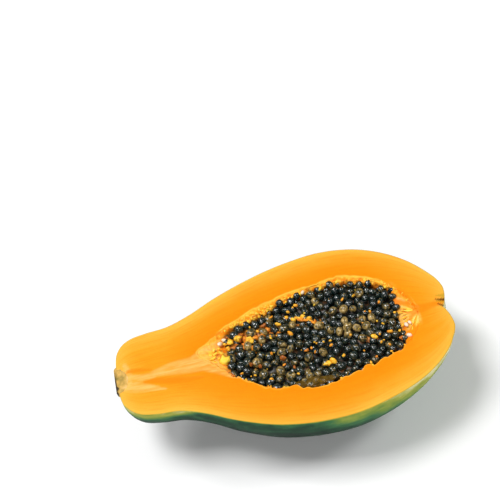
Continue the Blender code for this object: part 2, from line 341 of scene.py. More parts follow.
def cavity_section(x):
    """The cavity's far and near half-width and depth at x."""
    share = np.clip((x - CAVITY_X[0]) / (CAVITY_X[1] - CAVITY_X[0]), 0, 1)
    return section(CAVITY, np.arccos(1 - 2 * share) / math.pi)[1:]


def cavity_reach(x, under, side):
    """Distance from the middle line to the wall, at a depth under the cut face:
    half-width * (1 - (under / depth) ** 2.4) ** (1 / 2.4)."""
    far, near, depth = cavity_section(x)
    left = np.clip(1 - (under / np.maximum(depth, 1.0)) ** WALL_POWER, 0, 1)
    return np.where(side > 0, far, near) * left ** (1 / WALL_POWER)


print("wall at x = 20 mm, far and near:", [round(float(cavity_reach(20.0, 0.0, s)), 1) for s in (1, -1)])

# %% [markdown]
# ## Skin, cut face and cavity in one skin-tight sheet
#
# Flesh and rind are one body in the real fruit, so they are one closed mesh here too. It has three grids
# that share their borders: the skin from edge to edge under the fruit, the cut face from the outline in to
# the cavity, and the cavity's wall. A Boolean cut could make the same form, but it leaves long thin faces,
# and these grids follow the fruit, so colours and fine relief can follow it too.

# %% The skin
LOBES = 5
LOBE_TURN = math.radians(38)
RIB_HEIGHT = (0.006, 0.039)  # share of the radius at the neck, and what is added by the blossom end
NOTCH_RADIUS = 17.0
NOTCH_DEPTH = 5.6
SKIN_LOSS = (0.12, 0.5)  # the least and the most that the uneven skin lies inside the solid
SKIN_WAVES = (34.0, 11.0)  # mm, lengths of the broad and of the small unevenness
TIP_RADIUS = 12.0  # mm, nearer to the axis than this the loss fades out
END_LOSS = 0.003  # share of the length that the ends lie inside the solid
DENT = (110.0, -25.0, 3.2, 1.1)  # x, y, radius and depth of a small dent in the outline
ALONG = 260
AROUND = 96


def skin_point(t, turn):
    """x = neck + distance - notch, y = half-width * cos(turn) * rib, z = face - depth * sin(turn) * rib.
    A rib is 1 + height * sin(turn) ** 2 * cos(5 * turn + 38 degrees), and turn runs from 0 on the far edge
    through pi / 2 at the keel to pi on the near edge."""
    distance, far, near, depth = section(SKIN, t)
    height = RIB_HEIGHT[0] + RIB_HEIGHT[1] * t**4
    rib = 1 + height * np.sin(turn) ** 2 * np.cos(LOBES * turn + LOBE_TURN)
    y = np.where(np.cos(turn) > 0, far, near) * np.cos(turn) * rib
    down = depth * np.sin(turn) * rib
    inside = np.clip(1 - np.hypot(y, down) / NOTCH_RADIUS, 0, 1) * (t > 0.5)
    x = NECK_X + distance - NOTCH_DEPTH * inside**1.4
    place = np.stack([x, y, down], axis=-1)
    rough = 0.5 + 0.35 * value_noise(place, SKIN_WAVES[0], 1) + 0.15 * value_noise(place, SKIN_WAVES[1], 2)
    dent = np.exp(-((x - DENT[0]) ** 2 + (y - DENT[1]) ** 2) / DENT[2] ** 2)
    loss = SKIN_LOSS[0] + (SKIN_LOSS[1] - SKIN_LOSS[0]) * rough + DENT[3] * dent
    shrink = 1 - loss / np.maximum(np.hypot(y, down), TIP_RADIUS)
    x = x - END_LOSS * x
    z = np.maximum(FACE - down * shrink, 0.0)
    return np.stack([x, AXIS_Y + y * shrink, z], axis=-1)


t_along = np.linspace(0, 1, ALONG + 1)[:, None]
turns = np.linspace(0, math.pi, AROUND + 1)[None]
skin_grid = skin_point(*np.broadcast_arrays(t_along, turns))
print("skin", skin_grid.shape, "lowest point, mm:", round(float(skin_grid[..., 2].min()), 2))

# %% [markdown]
# The knife and a spoon left the cavity's rim torn. The rim's line is a smooth curve with noise of two
# sizes on it, a slow wave, and a few single tears, all larger on the near side, as on the real half. The
# far wall leans in under the rim like a shelf, and the lining fills both end corners.

# %% The torn rim and the lining
RIM_WAVE = 0.6  # mm
BITE = (0.6, 1.5, 2.0)  # mm: depth on the far and on the near side, and length
CHUNK = (0.5, 1.2, 6.0)  # the same for larger ones
TEARS = [(-36.8, 2.2, 2.4), (1.5, 2.5, -1.4), (50.0, 2.4, -1.6), (56.5, 1.8, 0.3)]  # x, half-width, depth
SHELF = 2.4
SHELF_MORE = (2.4, -15.0, 10.0)  # mm further in, and middle and half-width of the stretch with fewer seeds
CORNER_UNDER = 1.0  # mm under the cut face, at the very end
CORNER_FALL = (0.2, 0.3)  # mm lower for each mm, at the neck's end and at the blossom end
CORNER_X = (-37.0, 80.0)  # where the filling ends
CORNER_FADE = 6.0
UNLIMITED = 60.0  # mm, deeper than any part of the cavity


def nibble(t, side):
    """How far the torn rim wanders outwards from the smooth one: a slow wave, small bites, larger chunks,
    and on the near side a few tears, each depth * exp(-((x - middle) / half-width) ** 2)."""
    place = np.stack([t * 150.0, 40.0 * side, np.zeros_like(t)], axis=-1)
    wave = RIM_WAVE * np.sin(29 * t + 2 * side)
    bites = np.where(side < 0, BITE[1], BITE[0]) * value_noise(place, BITE[2], 3)
    chunks = np.where(side < 0, CHUNK[1], CHUNK[0]) * value_noise(place, CHUNK[2], 4)
    x = CAVITY_X[0] + (CAVITY_X[1] - CAVITY_X[0]) * (1 - np.cos(math.pi * t)) / 2
    tears = sum(depth * np.exp(-(((x - middle) / half) ** 2)) for middle, half, depth in TEARS)
    return (wave + bites + chunks) * np.sin(math.pi * t) + np.where(side < 0, tears, 0)


def shelf(x):
    """How far the far lining has come in, 3.4 mm down: 2.4 mm, and more where fewer seeds lie, by
    2.4 * exp(-((x + 15) / 10) ** 2)."""
    more, middle, half = SHELF_MORE
    return SHELF + more * np.exp(-(((x - middle) / half) ** 2))


def corner_depth(x):
    """The most that the cavity's depth may be: at both ends 1 mm, and 0.2 or 0.3 mm more for each mm away
    from the end, until it falls away to the seeds."""
    past_neck = UNLIMITED * np.clip((x - CORNER_X[0]) / CORNER_FADE, 0, 1)
    past_blossom = UNLIMITED * np.clip((CORNER_X[1] - x) / CORNER_FADE, 0, 1)
    at_neck = CORNER_UNDER + CORNER_FALL[0] * (x - CAVITY_X[0]) + past_neck
    return np.minimum(at_neck, CORNER_UNDER + CORNER_FALL[1] * (CAVITY_X[1] - x) + past_blossom)


print("lining comes in by", [round(float(shelf(x)), 1) for x in (-15.0, 40.0)], "mm at x = -15 and 40 mm")

# %% The cavity wall
FAR_INSET = 0.4
RIM_FADE = 3.5  # mm under the face where the torn rim has faded out
LUMP_SIZES = (4.2, 1.9)
LUMP_HEIGHT = 1.7
DOWN = 64


def cavity_point(t, turn):
    """x = end + distance, y = middle + half-width * |cos(turn)| ** (2 / 2.4), z = face - depth *
    |sin(turn)| ** (2 / 2.4), with turn as on the skin. Noise of two sizes makes the lumps of the lining."""
    distance, far, near, depth = section(CAVITY, t)
    x = CAVITY_X[0] + distance
    depth = np.minimum(depth, corner_depth(x))
    side = np.sign(np.cos(turn))
    share = np.abs(np.cos(turn)) ** (2 / WALL_POWER)
    down = depth * np.abs(np.sin(turn)) ** (2 / WALL_POWER)
    reach = np.where(side > 0, far - FAR_INSET, near) + nibble(t, side) * np.clip(1 - down / RIM_FADE, 0, 1)
    place = np.stack([x, reach * share * side, down], axis=-1)
    lumps = np.abs(value_noise(place, LUMP_SIZES[0], 5)) + 0.5 * value_noise(place, LUMP_SIZES[1], 6)
    inward = LUMP_HEIGHT * (0.75 - lumps) * np.clip((down - 0.3) / 1.2, 0, 1)
    inward += np.where(side > 0, shelf(x), 0.0) * np.clip((down - 0.2) / 3.2, 0, 1) ** 0.8
    reach = np.maximum(reach - inward, 0)
    return np.stack([x, cavity_middle(x) + reach * share * side, FACE - down], axis=-1)


wall_turns = np.linspace(0, math.pi, DOWN + 1)[None]
wall_turns = math.pi * (1 - np.cos(wall_turns)) / 2  # short steps just under the rim
wall_grid = cavity_point(*np.broadcast_arrays(t_along, wall_turns))
print("wall", wall_grid.shape, "deepest, mm:", round(float(FACE - wall_grid[..., 2].min()), 1))

# %% The cut face between outline and rim
ACROSS = 60

share = (1 - np.cos(np.linspace(0, math.pi, ACROSS + 1))) / 2
share = share[None, :, None]
far_face = skin_grid[:, :1] + (wall_grid[:, :1] - skin_grid[:, :1]) * share
near_face = skin_grid[:, -1:] + (wall_grid[:, -1:] - skin_grid[:, -1:]) * share
print("face", far_face.shape)

# %% [markdown]
# ## Paths across the cut face
#
# The cut shows where fibres run: pale bundles from the stem to the cavity, deeper orange wedges beside
# them, and a line from the cavity to the blossom end. Each is drawn like a brush stroke, a path with a width
# at each point. The distance from every point of the face to the nearest stretch of the path gives how
# strongly the stroke covers it.

# %% Distances and brush strokes


def path_distance(place, path, width=None):
    """Distance from each place to the nearest point of a path of straight runs, or how strongly a stroke
    covers it: 1 - (distance / half-width) ** 2, where the half-width changes evenly between points."""
    start, run = path[:-1], np.diff(path, axis=0)
    best = []
    for chunk in np.array_split(place[:, None, :2], max(1, len(place) * len(run) // 2000000)):
        at = np.clip(((chunk - start) * run).sum(-1) / (run**2).sum(-1), 0, 1)
        gap = np.linalg.norm(chunk - start - at[..., None] * run, axis=-1)
        if width is None:
            best.append(gap.min(axis=1))
        else:
            best.append(np.clip(1 - (gap / (width[:-1] + at * np.diff(width))) ** 2, 0, 1).max(axis=1))
    return np.concatenate(best)


def brush(place, strokes):
    """The strongest of several strokes at each place. A stroke is a list of (x, y, half-width)."""
    total = np.zeros(len(place))
    for stroke in strokes:
        stroke = np.array(stroke, float)
        total = np.maximum(total, path_distance(place, stroke[:, :2], stroke[:, 2]))
    return total**2 * (3 - 2 * total)


across_path = path_distance(np.array([[0.0, 3.0, 0.0]]), np.array([[-9.0, 0.0], [9.0, 0.0]]))
print("3 mm beside a path measures", round(float(across_path[0]), 2), "mm")

# %% Where fibres, wedges and cracks run
# each stroke is a row of (x, y, half-width) in mm
PALE_FIBRES = [
    [(-94, -2.5, 1.6), (-85, -1.2, 4.0), (-75, -0.6, 6.2), (-64, -1.2, 7.4), (-54, -1.0, 8.8),
     (-45, -1.0, 9.0)],
    [(-60, 3.5, 3.0), (-52, 7.5, 4.0), (-46, 10, 4.0), (-40, 13, 2.6)],
    [(-54, -4, 5.0), (-45, -9.5, 4.4), (-37, -15.5, 3.4), (-28, -20.5, 1.6)],
    [(-107, -8.2, 3.6), (-101, -8.6, 5.6), (-95, -10.6, 4.6), (-88, -13, 2.6), (-81, -15.5, 0.6)],
    [(-106.5, 10.0, 2.2), (-103.6, 1, 2.8), (-105.5, -8, 2.8)],
    [(-104, 0.0, 2.4), (-96, -2.6, 3.4), (-88, -2.6, 3.0)],
]
DEEP_WEDGES = [
    [(-104.5, 4.8, 2.2), (-98, 4.0, 2.4), (-89, 2.4, 0.8)],
    [(-95, -6.4, 0.8), (-88, -6.8, 2.8), (-79, -9.4, 4.0), (-66, -12, 3.0), (-56, -13, 1.0)],
    [(80, 13.2, 1.4), (88, 9.2, 1.8), (94.5, 2.0, 1.2)],
    [(82, -6, 1.2), (88.5, -1.8, 2.0), (94.5, 1.4, 1.2)],
    [(-46, 17.5, 1.6), (-40, 19, 1.6), (-34, 19.5, 0.8)],
]
NOTCH_LINE = [[(90, 2.0, 5.5), (97, 1.4, 4.6), (104, 2.2, 3.2), (111, 3.2, 2.2)]]
PALE_WEB = [
    [(83, 15.6, 1.4), (87.5, 11.2, 0.6)],
    [(83.4, 6.8, 0.9), (89.4, 2.9, 0.5)],
    [(81.6, 1.2, 1.6), (86.0, 1.5, 1.2), (90.2, 5.6, 0.5)],
    [(83.0, -2.0, 1.3), (86.0, -4.0, 0.6)],
]
CRACKS = [
    [(106.4, 6.4, 0.4), (109.4, 5.2, 1.1), (113.0, 4.4, 1.8)],
    [(107.0, 2.6, 0.4), (109.6, 0.6, 0.9), (113.0, -2.2, 1.6)],
]
OLIVE_CORNER = [[(112.5, 7.6, 2.2), (108.0, 8.8, 1.0)], [(111.5, 2.4, 1.6), (107.0, 4.6, 1.0)]]
SPOKE_HUB = (94.3, 1.65)
print("strokes", len(PALE_FIBRES + DEEP_WEDGES + NOTCH_LINE + PALE_WEB + CRACKS + OLIVE_CORNER))

# %% [markdown]
# ## The body of flesh and rind
#
# The grids are welded into one closed mesh. Then each point learns where it lies on the fruit: how far from
# the rind, how far from the cavity's rim, how deep, and which strokes cover it. The same strokes also move
# the surface a few tenths of a millimetre, because fibres stand proud of a knife cut and soft pockets sink.

# %% Weld the grids
points, faces, origin = weld([skin_grid, far_face, near_face, wall_grid])
SKIN_GRID = 0  # the numbers of two of the grids in origin
WALL_GRID = 3
wall = origin == WALL_GRID
on_face = points[:, 2] > FACE - 0.003
print("welded points", len(points), "on the cut face", int(on_face.sum()))

# %% How far each point lies from the rind and from the rim
FAR_FROM_RIND = 20.0  # mm, for the lining

outline = np.concatenate([skin_grid[:, 0], skin_grid[::-1, -1]])[:, :2]
outline = outline[np.concatenate([[True], np.linalg.norm(np.diff(outline, axis=0), axis=1) > 1e-6])]
rim = np.concatenate([wall_grid[:, 0], wall_grid[::-1, -1]])[:, :2]
rim = rim[np.concatenate([[True], np.linalg.norm(np.diff(rim, axis=0), axis=1) > 1e-6])]

near_rind = np.zeros(len(points))
near_rind[on_face] = path_distance(points[on_face], outline)
near_rind[wall] = FAR_FROM_RIND
near_rim = np.zeros(len(points))
near_rim[on_face] = path_distance(points[on_face], rim)
under = FACE - points[:, 2]
print("thickest flesh, mm:", round(float(near_rind[on_face].max()), 1))

# %% Which strokes cover each point
pale = brush(points, PALE_FIBRES + PALE_WEB)
deep = brush(points, DEEP_WEDGES)
notch_line = brush(points, NOTCH_LINE)
cracks = brush(points, CRACKS)
olive = brush(points, OLIVE_CORNER)
print("points under pale fibres", int((pale > 0).sum()), "under deep wedges", int((deep > 0).sum()))

# %% Relief of the cut face
STUB_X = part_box("stem_stub")[0].x / MM
STUB_REACH = (8.6, 10.0)
STUB_SINK = 1.0  # mm that the face lies lower round the stub, which fills the place
KNIFE_MARKS = (0.08, 0.05, 0.03)  # mm: mean depth of the cut's unevenness, of its waves and of its streaks
EDGE_ROUND = 0.25  # mm that the face falls towards the rind
RIM_ROUND = 0.15  # mm that it falls towards the cavity
POCKET = 1.2  # mm that the two pockets at the blossom end sink

stub_near = 1 - np.hypot((points[:, 0] - STUB_X - 0.6) / STUB_REACH[0],
                         (points[:, 1] - AXIS_Y) / STUB_REACH[1])
sink = STUB_SINK * np.clip(6 * stub_near, 0, 1)
waves = KNIFE_MARKS[1] * value_noise(points, 14.0, 7)
knife = KNIFE_MARKS[0] + waves + KNIFE_MARKS[2] * value_noise(points * [0.25, 1, 1], 2.2, 8)
edge = EDGE_ROUND * np.clip(1 - near_rind / 0.8, 0, 1) ** 2
soft = RIM_ROUND * np.clip(1 - near_rim / 2.5, 0, 1) ** 2
hollow = deep * np.clip((points[:, 0] - 80) / 4, 0, 1) * np.clip((95 - points[:, 0]) / 4, 0, 1)
lower = knife + edge + soft + sink + 0.12 * deep + POCKET * hollow + 0.5 * cracks - 0.05 * pale
points[:, 2] -= np.where(on_face, np.maximum(lower, 0), 0)
print("relief of the face, mm:", round(float(lower[on_face].max()), 2))

# %% [markdown]
# ## Ripe papaya flesh
#
# Ripe flesh is a wet, soft tissue: light goes a millimetre or two into it before it comes out, so it glows
# rather than shines, and a knife leaves it satin. Its orange is deepest round the cavity and fades to yellow
# under the rind. The colour is mixed from the distances that each point learnt, so the bands follow the
# outline as they do in the fruit, and stretched noise adds the faint lengthwise fibres.

# %% What the flesh reads, and its noises
FIBRE_WIDTH = 1.6  # mm between faint fibres; real ones are about 0.3 mm, too fine to show
BAND_WIDTH = 9.0  # mm across the broad lengthwise bands of lighter and deeper orange
MOTTLE = 13.0  # mm across the soft patches of deeper and lighter orange
PIT = 2.4  # mm between the grains of the torn lining; real ones are about 1 mm
WISP = 2.6  # mm across the gaps in the pale bundles

flesh, tree = new_material("papaya_flesh_ripe_cut")
place = node(tree, "TexCoord").outputs["Object"]
stored = {name: node(tree, "Attribute", attribute_name=name).outputs["Fac"] for name in (
    "near_rind", "ring", "spokes", "painted_shade_wall", "pale_tip", "spoke_share", "under", "hub_share", "pale_lip_highlight",
    "pale", "deep", "olive", "cracks")}
fibre_way = node(tree, "Attribute", attribute_name="fibre_way").outputs["Vector"]
drawn_out = node(tree, "Mapping", {"Vector": place, "Scale": (0.18, 1.0, 1.0)})
mottle, fibres, bands, pits, wisps = [
    node(tree, "TexNoise", {"Vector": way, "Scale": scale, "Detail": 3.0}) for way, scale in (
        (place, 1 / (MOTTLE * MM)), (fibre_way, 1 / FIBRE_WIDTH), (fibre_way, 1 / BAND_WIDTH),
        (place, 1 / (PIT * MM)), (drawn_out, 1 / (WISP * MM)))]

# %% Flesh: yellow under the rind, deep orange round the cavity
wander = node(tree, "Math", {0: mottle, 1: 5.0, 2: -2.5}, operation="MULTIPLY_ADD")
wander = node(tree, "Math", {0: bands, 1: 20.0, 2: wander}, operation="MULTIPLY_ADD")
wander = node(tree, "Math", {0: wander, 1: -10.0}, operation="ADD")
share = node(tree, "MapRange", {"Value": stored["near_rind"], "From Min": 1.0, "From Max": 9.0})
reach = node(tree, "Math", {0: wander, 1: share, 2: stored["near_rind"]}, operation="MULTIPLY_ADD")
reach = node(tree, "MapRange", {"Value": reach, "From Min": 0.0, "From Max": 20.0})
outer = node(tree, "ValToRGB", {"Fac": reach}, stops=[
    (0.0, "#b89c34"), (0.02, "#dcae3c"), (0.05, "#efb440"), (0.14, "#f8b03c"), (0.35, "#fca52d"),
    (0.65, "#fc9e21"), (1.0, "#fc9717")])
inner = node(tree, "Mix", {0: stored["ring"], 6: outer, 7: "#fa8905"}, data_type="RGBA")

# %% Flesh: the lining of the cavity and the spokes at the blossom end
# the lining's raised grains are painted paler yellow and its pits deeper orange, partly the torn lining's own
# colour and partly painted highlight and shade, since the same noise raises them in the bump
lining = node(tree, "ValToRGB", {"Fac": pits}, stops=[
    (0.3, "#ee6f0c"), (0.42, "#fc9216"), (0.55, "#ffae2a"), (0.68, "#ffd058")])
radial = node(tree, "ValToRGB", {"Fac": stored["spokes"]}, stops=[
    (0.05, "#fb7e0a"), (0.35, "#fc9418"), (0.6, "#fdb030"), (0.85, "#fdd46a")])
# one layer darkens the lining to brown orange from 1.5 mm under the rim down, as painted shade where the
# seeds meet the wall
for name, over in (("painted_shade_wall", "#b2541a"), ("pale_tip", "#fdc83c"), ("spoke_share", radial)):
    lining = node(tree, "Mix", {0: stored[name], 6: lining, 7: over}, data_type="RGBA")

# %% Flesh: layers of colour, one over another
in_cavity = node(tree, "MapRange", {"Value": stored["under"], "From Min": 0.15, "From Max": 0.7})
wisps = node(tree, "MapRange", {
    "Value": wisps, "From Min": 0.3, "From Max": 0.62, "To Min": 0.25, "To Max": 0.9})
pale_share, deep_share, olive_share = [
    node(tree, "Math", {0: stored[name], 1: most}, operation="MULTIPLY", use_clamp=True)
    for name, most in (("pale", wisps), ("deep", 0.85), ("olive", 0.7))]
fibre_share = node(tree, "MapRange", {
    "Value": fibres, "From Min": 0.5, "From Max": 0.72, "To Min": 0.0, "To Max": 0.4})
colour = inner
# the lip's pale yellow is partly a painted highlight on the torn edge
for over_share, over in (
        (in_cavity, lining), (stored["hub_share"], radial), (stored["pale_lip_highlight"], "#ffc648"),
        (pale_share, "#fcbe66"), (deep_share, "#fb860b"), (olive_share, "#b09324"), (fibre_share, "#f98808")):
    colour = node(tree, "Mix", {0: over_share, 6: colour, 7: over}, data_type="RGBA")
streak = node(tree, "MapRange", {
    "Value": fibres, "From Min": 0.3, "From Max": 0.7, "To Min": 1.03, "To Max": 0.97})
colour = node(tree, "VectorMath", {0: colour, "Scale": streak}, operation="SCALE")
colour = node(tree, "Mix", {0: stored["cracks"], 6: colour, 7: "#4a2c0c"}, data_type="RGBA")

# %% Flesh: satin surface and soft glow
# roughness 0.4 with little reflection gives the eye a moist, cut surface without a glare, and red light
# travels furthest under it, so thin edges glow orange
height = node(tree, "Math", {0: fibres, 1: pits}, operation="ADD")
bump = node(tree, "Bump", {"Height": height, "Strength": 0.3, "Distance": 0.25 * MM})
shader = node(tree, "BsdfPrincipled", {
    "Base Color": colour, "Roughness": 0.4, "IOR": 1.38, "Specular IOR Level": 0.12,
    "Subsurface Weight": 0.12, "Subsurface Radius": (1.0, 0.35, 0.1), "Subsurface Scale": 1.5 * MM,
    "Normal": bump})
node(tree, "OutputMaterial", {"Surface": shader})
print("nodes in the flesh", len(tree.nodes))

# %% [markdown]
# ## Papaya rind
#
# The rind is a thin waxy skin, smooth to the touch, so it has a soft gloss. It ripens from green to yellow in
# patches, first at the neck and at the blossom end and along the ribs, and it carries fine pores. One
# number for each point says how ripe the rind is there, and it also carries painted shade, darker down the
# belly, and a painted sheen, paler at the blossom end. A noise makes its borders ragged, and a colour ramp
# turns it into dark green, green, olive or pale yellow.

# %% Material of the rind
PORE = 1.8  # mm between pores, drawn a little coarse so that they show
PATCH = 12.0  # mm across the ragged patches of riper rind
STREAK = 5.0  # mm across lengthwise streaks
DIMPLE = 2.5  # mm across the shallow dimples of the skin

rind, tree = new_material("papaya_rind_waxy")
place = node(tree, "TexCoord").outputs["Object"]
ripe_shade_sheen = node(tree, "Attribute", attribute_name="ripe_shade_sheen").outputs["Fac"]
drawn_out = node(tree, "Mapping", {"Vector": place, "Scale": (0.3, 1.0, 1.0)})
cloud, streaks, dimple = [
    node(tree, "TexNoise", {"Vector": way, "Scale": 1 / (mm * MM), "Detail": detail, "Roughness": rough})
    for way, mm, detail, rough in (
        (place, PATCH, 5.0, 0.65), (drawn_out, STREAK, 3.0, 0.5), (place, DIMPLE, 3.0, 0.5))]
uneven = node(tree, "Math", {0: cloud, 1: streaks}, operation="ADD")
uneven = node(tree, "MapRange", {
    "Value": uneven, "From Min": 0.7, "From Max": 1.3, "To Min": -0.12, "To Max": 0.12})
turned = node(tree, "Math", {0: ripe_shade_sheen, 1: uneven}, operation="ADD", use_clamp=True)
# the palest stops are partly ripe yellow and partly a painted sheen where the waxy rind reflects its pale
# surroundings
green = node(tree, "ValToRGB", {"Fac": turned}, stops=[
    (0.0, "#0f291c"), (0.18, "#1e4930"), (0.38, "#407647"), (0.55, "#7a963e"), (0.72, "#acb04a"),
    (0.88, "#dad89a"), (1.0, "#f0ecbc")])
pores = node(tree, "TexVoronoi", {"Vector": place, "Scale": 1 / (PORE * MM)})
pore_share = node(tree, "MapRange", {
    "Value": pores, "From Min": 0.08, "From Max": 0.2, "To Min": 0.14, "To Max": 0.0})
speckled = node(tree, "Mix", {0: pore_share, 6: green, 7: "#7da060"}, data_type="RGBA")
bump = node(tree, "Bump", {"Height": dimple, "Strength": 0.15, "Distance": 0.3 * MM})
# wax gives the eye a broad, weak gloss, so roughness is half and reflection low
shader = node(tree, "BsdfPrincipled", {
    "Base Color": speckled, "Roughness": 0.5, "IOR": 1.4, "Specular IOR Level": 0.07, "Normal": bump})
node(tree, "OutputMaterial", {"Surface": shader})
print("nodes in the rind", len(tree.nodes))

# %% [markdown]
# ## The body, and what each of its points learns
#
# Every face of the skin below the cut gets the rind, and all others get the flesh. Then the numbers that the
# two materials read are worked out from each point's place on the fruit.

# %% Make the body and find the faces of the rind
body = add_mesh("flesh_and_rind", points, faces, flesh)
body.data.materials.append(rind)
size = np.array([len(face) for face in faces])
first = np.concatenate([[0], np.cumsum(size)[:-1]])
corner = np.concatenate(faces)
of_skin = np.logical_or.reduceat((origin == SKIN_GRID)[corner], first)
off_face = np.logical_or.reduceat(~on_face[corner], first)
of_wall = np.logical_or.reduceat(wall[corner], first)
is_rind = of_skin & off_face & ~of_wall
body.data.polygons.foreach_set("material_index", is_rind.astype(np.int32))
print("faces of rind", int(is_rind.sum()), "of", len(is_rind))

# %% Which way the fibres run
FIBRE_STRETCH = 0.06  # fibres are about sixteen times as long as they are wide
HALF_WIDTH = 58.0  # mm, so that a fibre's width stays true where the fruit is widest

along = points[:, 0]
across = points[:, 1]
order = np.argsort(skin_grid[:, 0, 0])
far_half = np.interp(along, skin_grid[order, 0, 0], skin_grid[order, 0, 1]) - AXIS_Y
near_half = AXIS_Y - np.interp(along, skin_grid[order, -1, 0], skin_grid[order, -1, 1])
out = np.abs(across - AXIS_Y) / np.maximum(np.where(across > AXIS_Y, far_half, near_half), TIP_RADIUS)
aside = HALF_WIDTH * np.clip(out, 0, 1.1) * np.sign(across - AXIS_Y)
layers = {"fibre_way": np.stack([along * FIBRE_STRETCH, aside, under], axis=1)}
print("furthest from the axis, share of the half-width:", round(float(out.max()), 2))

# %% The orange ring, the pale lip with its painted highlight, and the lining
torn = 0.75 + 0.5 * value_noise(points, 5.0, 16)
# the lip is the torn rim's pale yellow edge on the face and just inside the wall: partly its own colour,
# partly a painted highlight along the edge
pale_lip_highlight = np.where(on_face, np.clip(1.2 - near_rim / 0.9, 0, 1), 0) * np.where(across > 0, 1.0, 0.6 * torn)
pale_lip_highlight = np.where(wall, np.clip(1 - (under - 0.2) / 0.9, 0, 1) * torn, pale_lip_highlight)
layers["pale_lip_highlight"] = pale_lip_highlight * np.clip((80 - along) / 8, 0, 1)
at_tip = np.clip((-40 - along) / 8, 0, 1)  # the neck's end of the cavity
layers["pale_tip"] = at_tip * np.clip(0.6 + 0.9 * value_noise(points, 3.0, 17), 0.2, 0.9)
# painted shade on the wall from 1.5 mm under the rim down, away from the neck's end, where the seeds shade
# the lining
layers["painted_shade_wall"] = 0.7 * np.clip((under - 1.5) / 2.2, 0, 1) * np.clip((along + 44) / 8, 0, 1) * wall
ring_width = 20 + 10 * np.clip(-across / 10, 0, 1) * np.clip((60 - along) / 30, 0, 1)
ring = 0.95 * np.clip(1 - (near_rim - 3) / ring_width, 0, 1)
layers["ring"] = ring * (1 - 0.6 * np.clip((along - 66) / 24, 0, 1))
print("points on the lip", int((pale_lip_highlight > 0).sum()), "in the ring", int((ring > 0).sum()))

# %% Spokes round the hub at the blossom end
round_hub = np.arctan2(across - SPOKE_HUB[1], SPOKE_HUB[0] - along)
from_hub = np.hypot(across - SPOKE_HUB[1], SPOKE_HUB[0] - along)
spokes = 0.5 + 0.9 * value_noise(np.stack([9 * round_hub, from_hub / 16, 0 * along], axis=1), 1.0, 15)
hub_side = np.clip((across + 14) / 7, 0, 1)  # no spokes in the near corner
plain = np.clip((-7 - across) / 5, 0, 1) * np.clip((along - 76) / 5, 0, 1)  # plain flesh there
hub_share = 0.75 * np.clip(1 - near_rim / 3, 0, 1) * np.clip((along - 80) / 6, 0, 1)
layers["spokes"] = np.clip(spokes, 0, 1)
layers["spoke_share"] = np.clip((along - 78) / 5, 0, 1) * np.clip(1.2 - from_hub / 30, 0, 1) * hub_side
layers["hub_share"] = hub_share * (on_face * np.clip((95.5 - along) / 3, 0, 1) * hub_side)
layers["under"] = np.where(wall, under, 0.0) * (1 - plain)
print("points under spokes", int((layers["spoke_share"] > 0).sum()))

# %% Where the rind ripens, with painted shade down the belly and a painted sheen at the blossom end
neck_end = np.clip((-62 - along) / 14, 0, 1)
blossom_end = np.clip((along - 4) / 70, 0, 1)
ripe_shade_sheen = 0.15 + 0.16 * np.clip(1 - under / 7, 0, 1) + 0.62 * neck_end * np.clip(1.2 - under / 9, 0, 1)
ripe_shade_sheen += blossom_end * (0.44 + 0.2 * np.clip(1 - under / 14, 0, 1))
ripe_shade_sheen += 0.26 * np.exp(-(((along - 31) / 12) ** 2) - ((under - 7) / 6) ** 2) * (across < 0)  # one patch
# a yellow band for 1.8 mm under the cut edge, and from 12 mm down painted shade that darkens the rind towards
# the belly's underside
ripe_shade_sheen += 0.3 * np.clip(1 - under / 1.8, 0, 1) - 0.22 * np.clip((under - 12) / 14, 0, 1)  # edge and belly
# the palest stops, allowed towards the blossom end, are partly its ripening and partly a painted sheen of the
# wax
ripe_sheen_limit = 0.74 + 0.21 * np.clip((along - 50) / 40, 0, 1)
layers["ripe_shade_sheen"] = np.clip(ripe_shade_sheen, 0, ripe_sheen_limit)
print("mean ripeness of the rind:", round(float(layers["ripe_shade_sheen"][origin == SKIN_GRID].mean()), 2))

# %% Store it and let the body stand for the solid fruit
paint(body, **layers, near_rind=near_rind, pale=pale, deep=np.maximum(deep, 0.95 * notch_line), cracks=cracks,
      olive=olive)
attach(body, "root")
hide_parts("papaya_half")
print("numbers stored for each point", len(body.data.attributes))

# %% [markdown]
# ## The stem stub
#
# The stem leaves a woody plug in the neck. The knife went through it too, so it shows a dry tan face with an
# olive ring, and a dark crust on its outer side. It is a profile turned half round below the cut face, as
# the solid is, with finer steps and an uneven edge.

# %% The stub's form
STUB_PROFILE = np.array([  # inward distance and radius, mm
    (0.9, 0.0), (0.6, 4.5), (0.0, 8.6), (0.9, 10.9), (3.6, 11.2), (6.8, 9.0), (8.8, 5.0), (9.4, 0.0)])
STUB_STEPS = (60, 72)
STUB_RADIUS = 11.0
LID_STEPS = 40


def stub_point(s, angle):
    """The profile's (inward distance, radius) at s, turned by angle below the cut face. Its edge wanders by
    a few tenths of a millimetre, always inwards."""
    knots = np.linspace(0, 1, len(STUB_PROFILE))
    inward = smooth_curve(knots, STUB_PROFILE[:, 0], s)
    radius = np.maximum(smooth_curve(knots, STUB_PROFILE[:, 1], s), 0)
    place = np.stack([inward, radius * np.cos(angle), radius * np.sin(angle)], axis=-1)
    uneven = 0.35 + 0.35 * value_noise(place, 3.0, 9) + 0.15 * value_noise(place, 1.2, 10)
    radius = radius * (1 - np.clip(uneven, 0.05, 1) / STUB_RADIUS)
    inward = np.maximum(inward, 0.05) + 0.3 * np.clip(uneven, 0, 1) * (s < 0.5)
    return np.stack([STUB_X + inward, AXIS_Y + radius * np.cos(angle), FACE - 0.12 - radius * np.sin(angle)],
                    axis=-1)


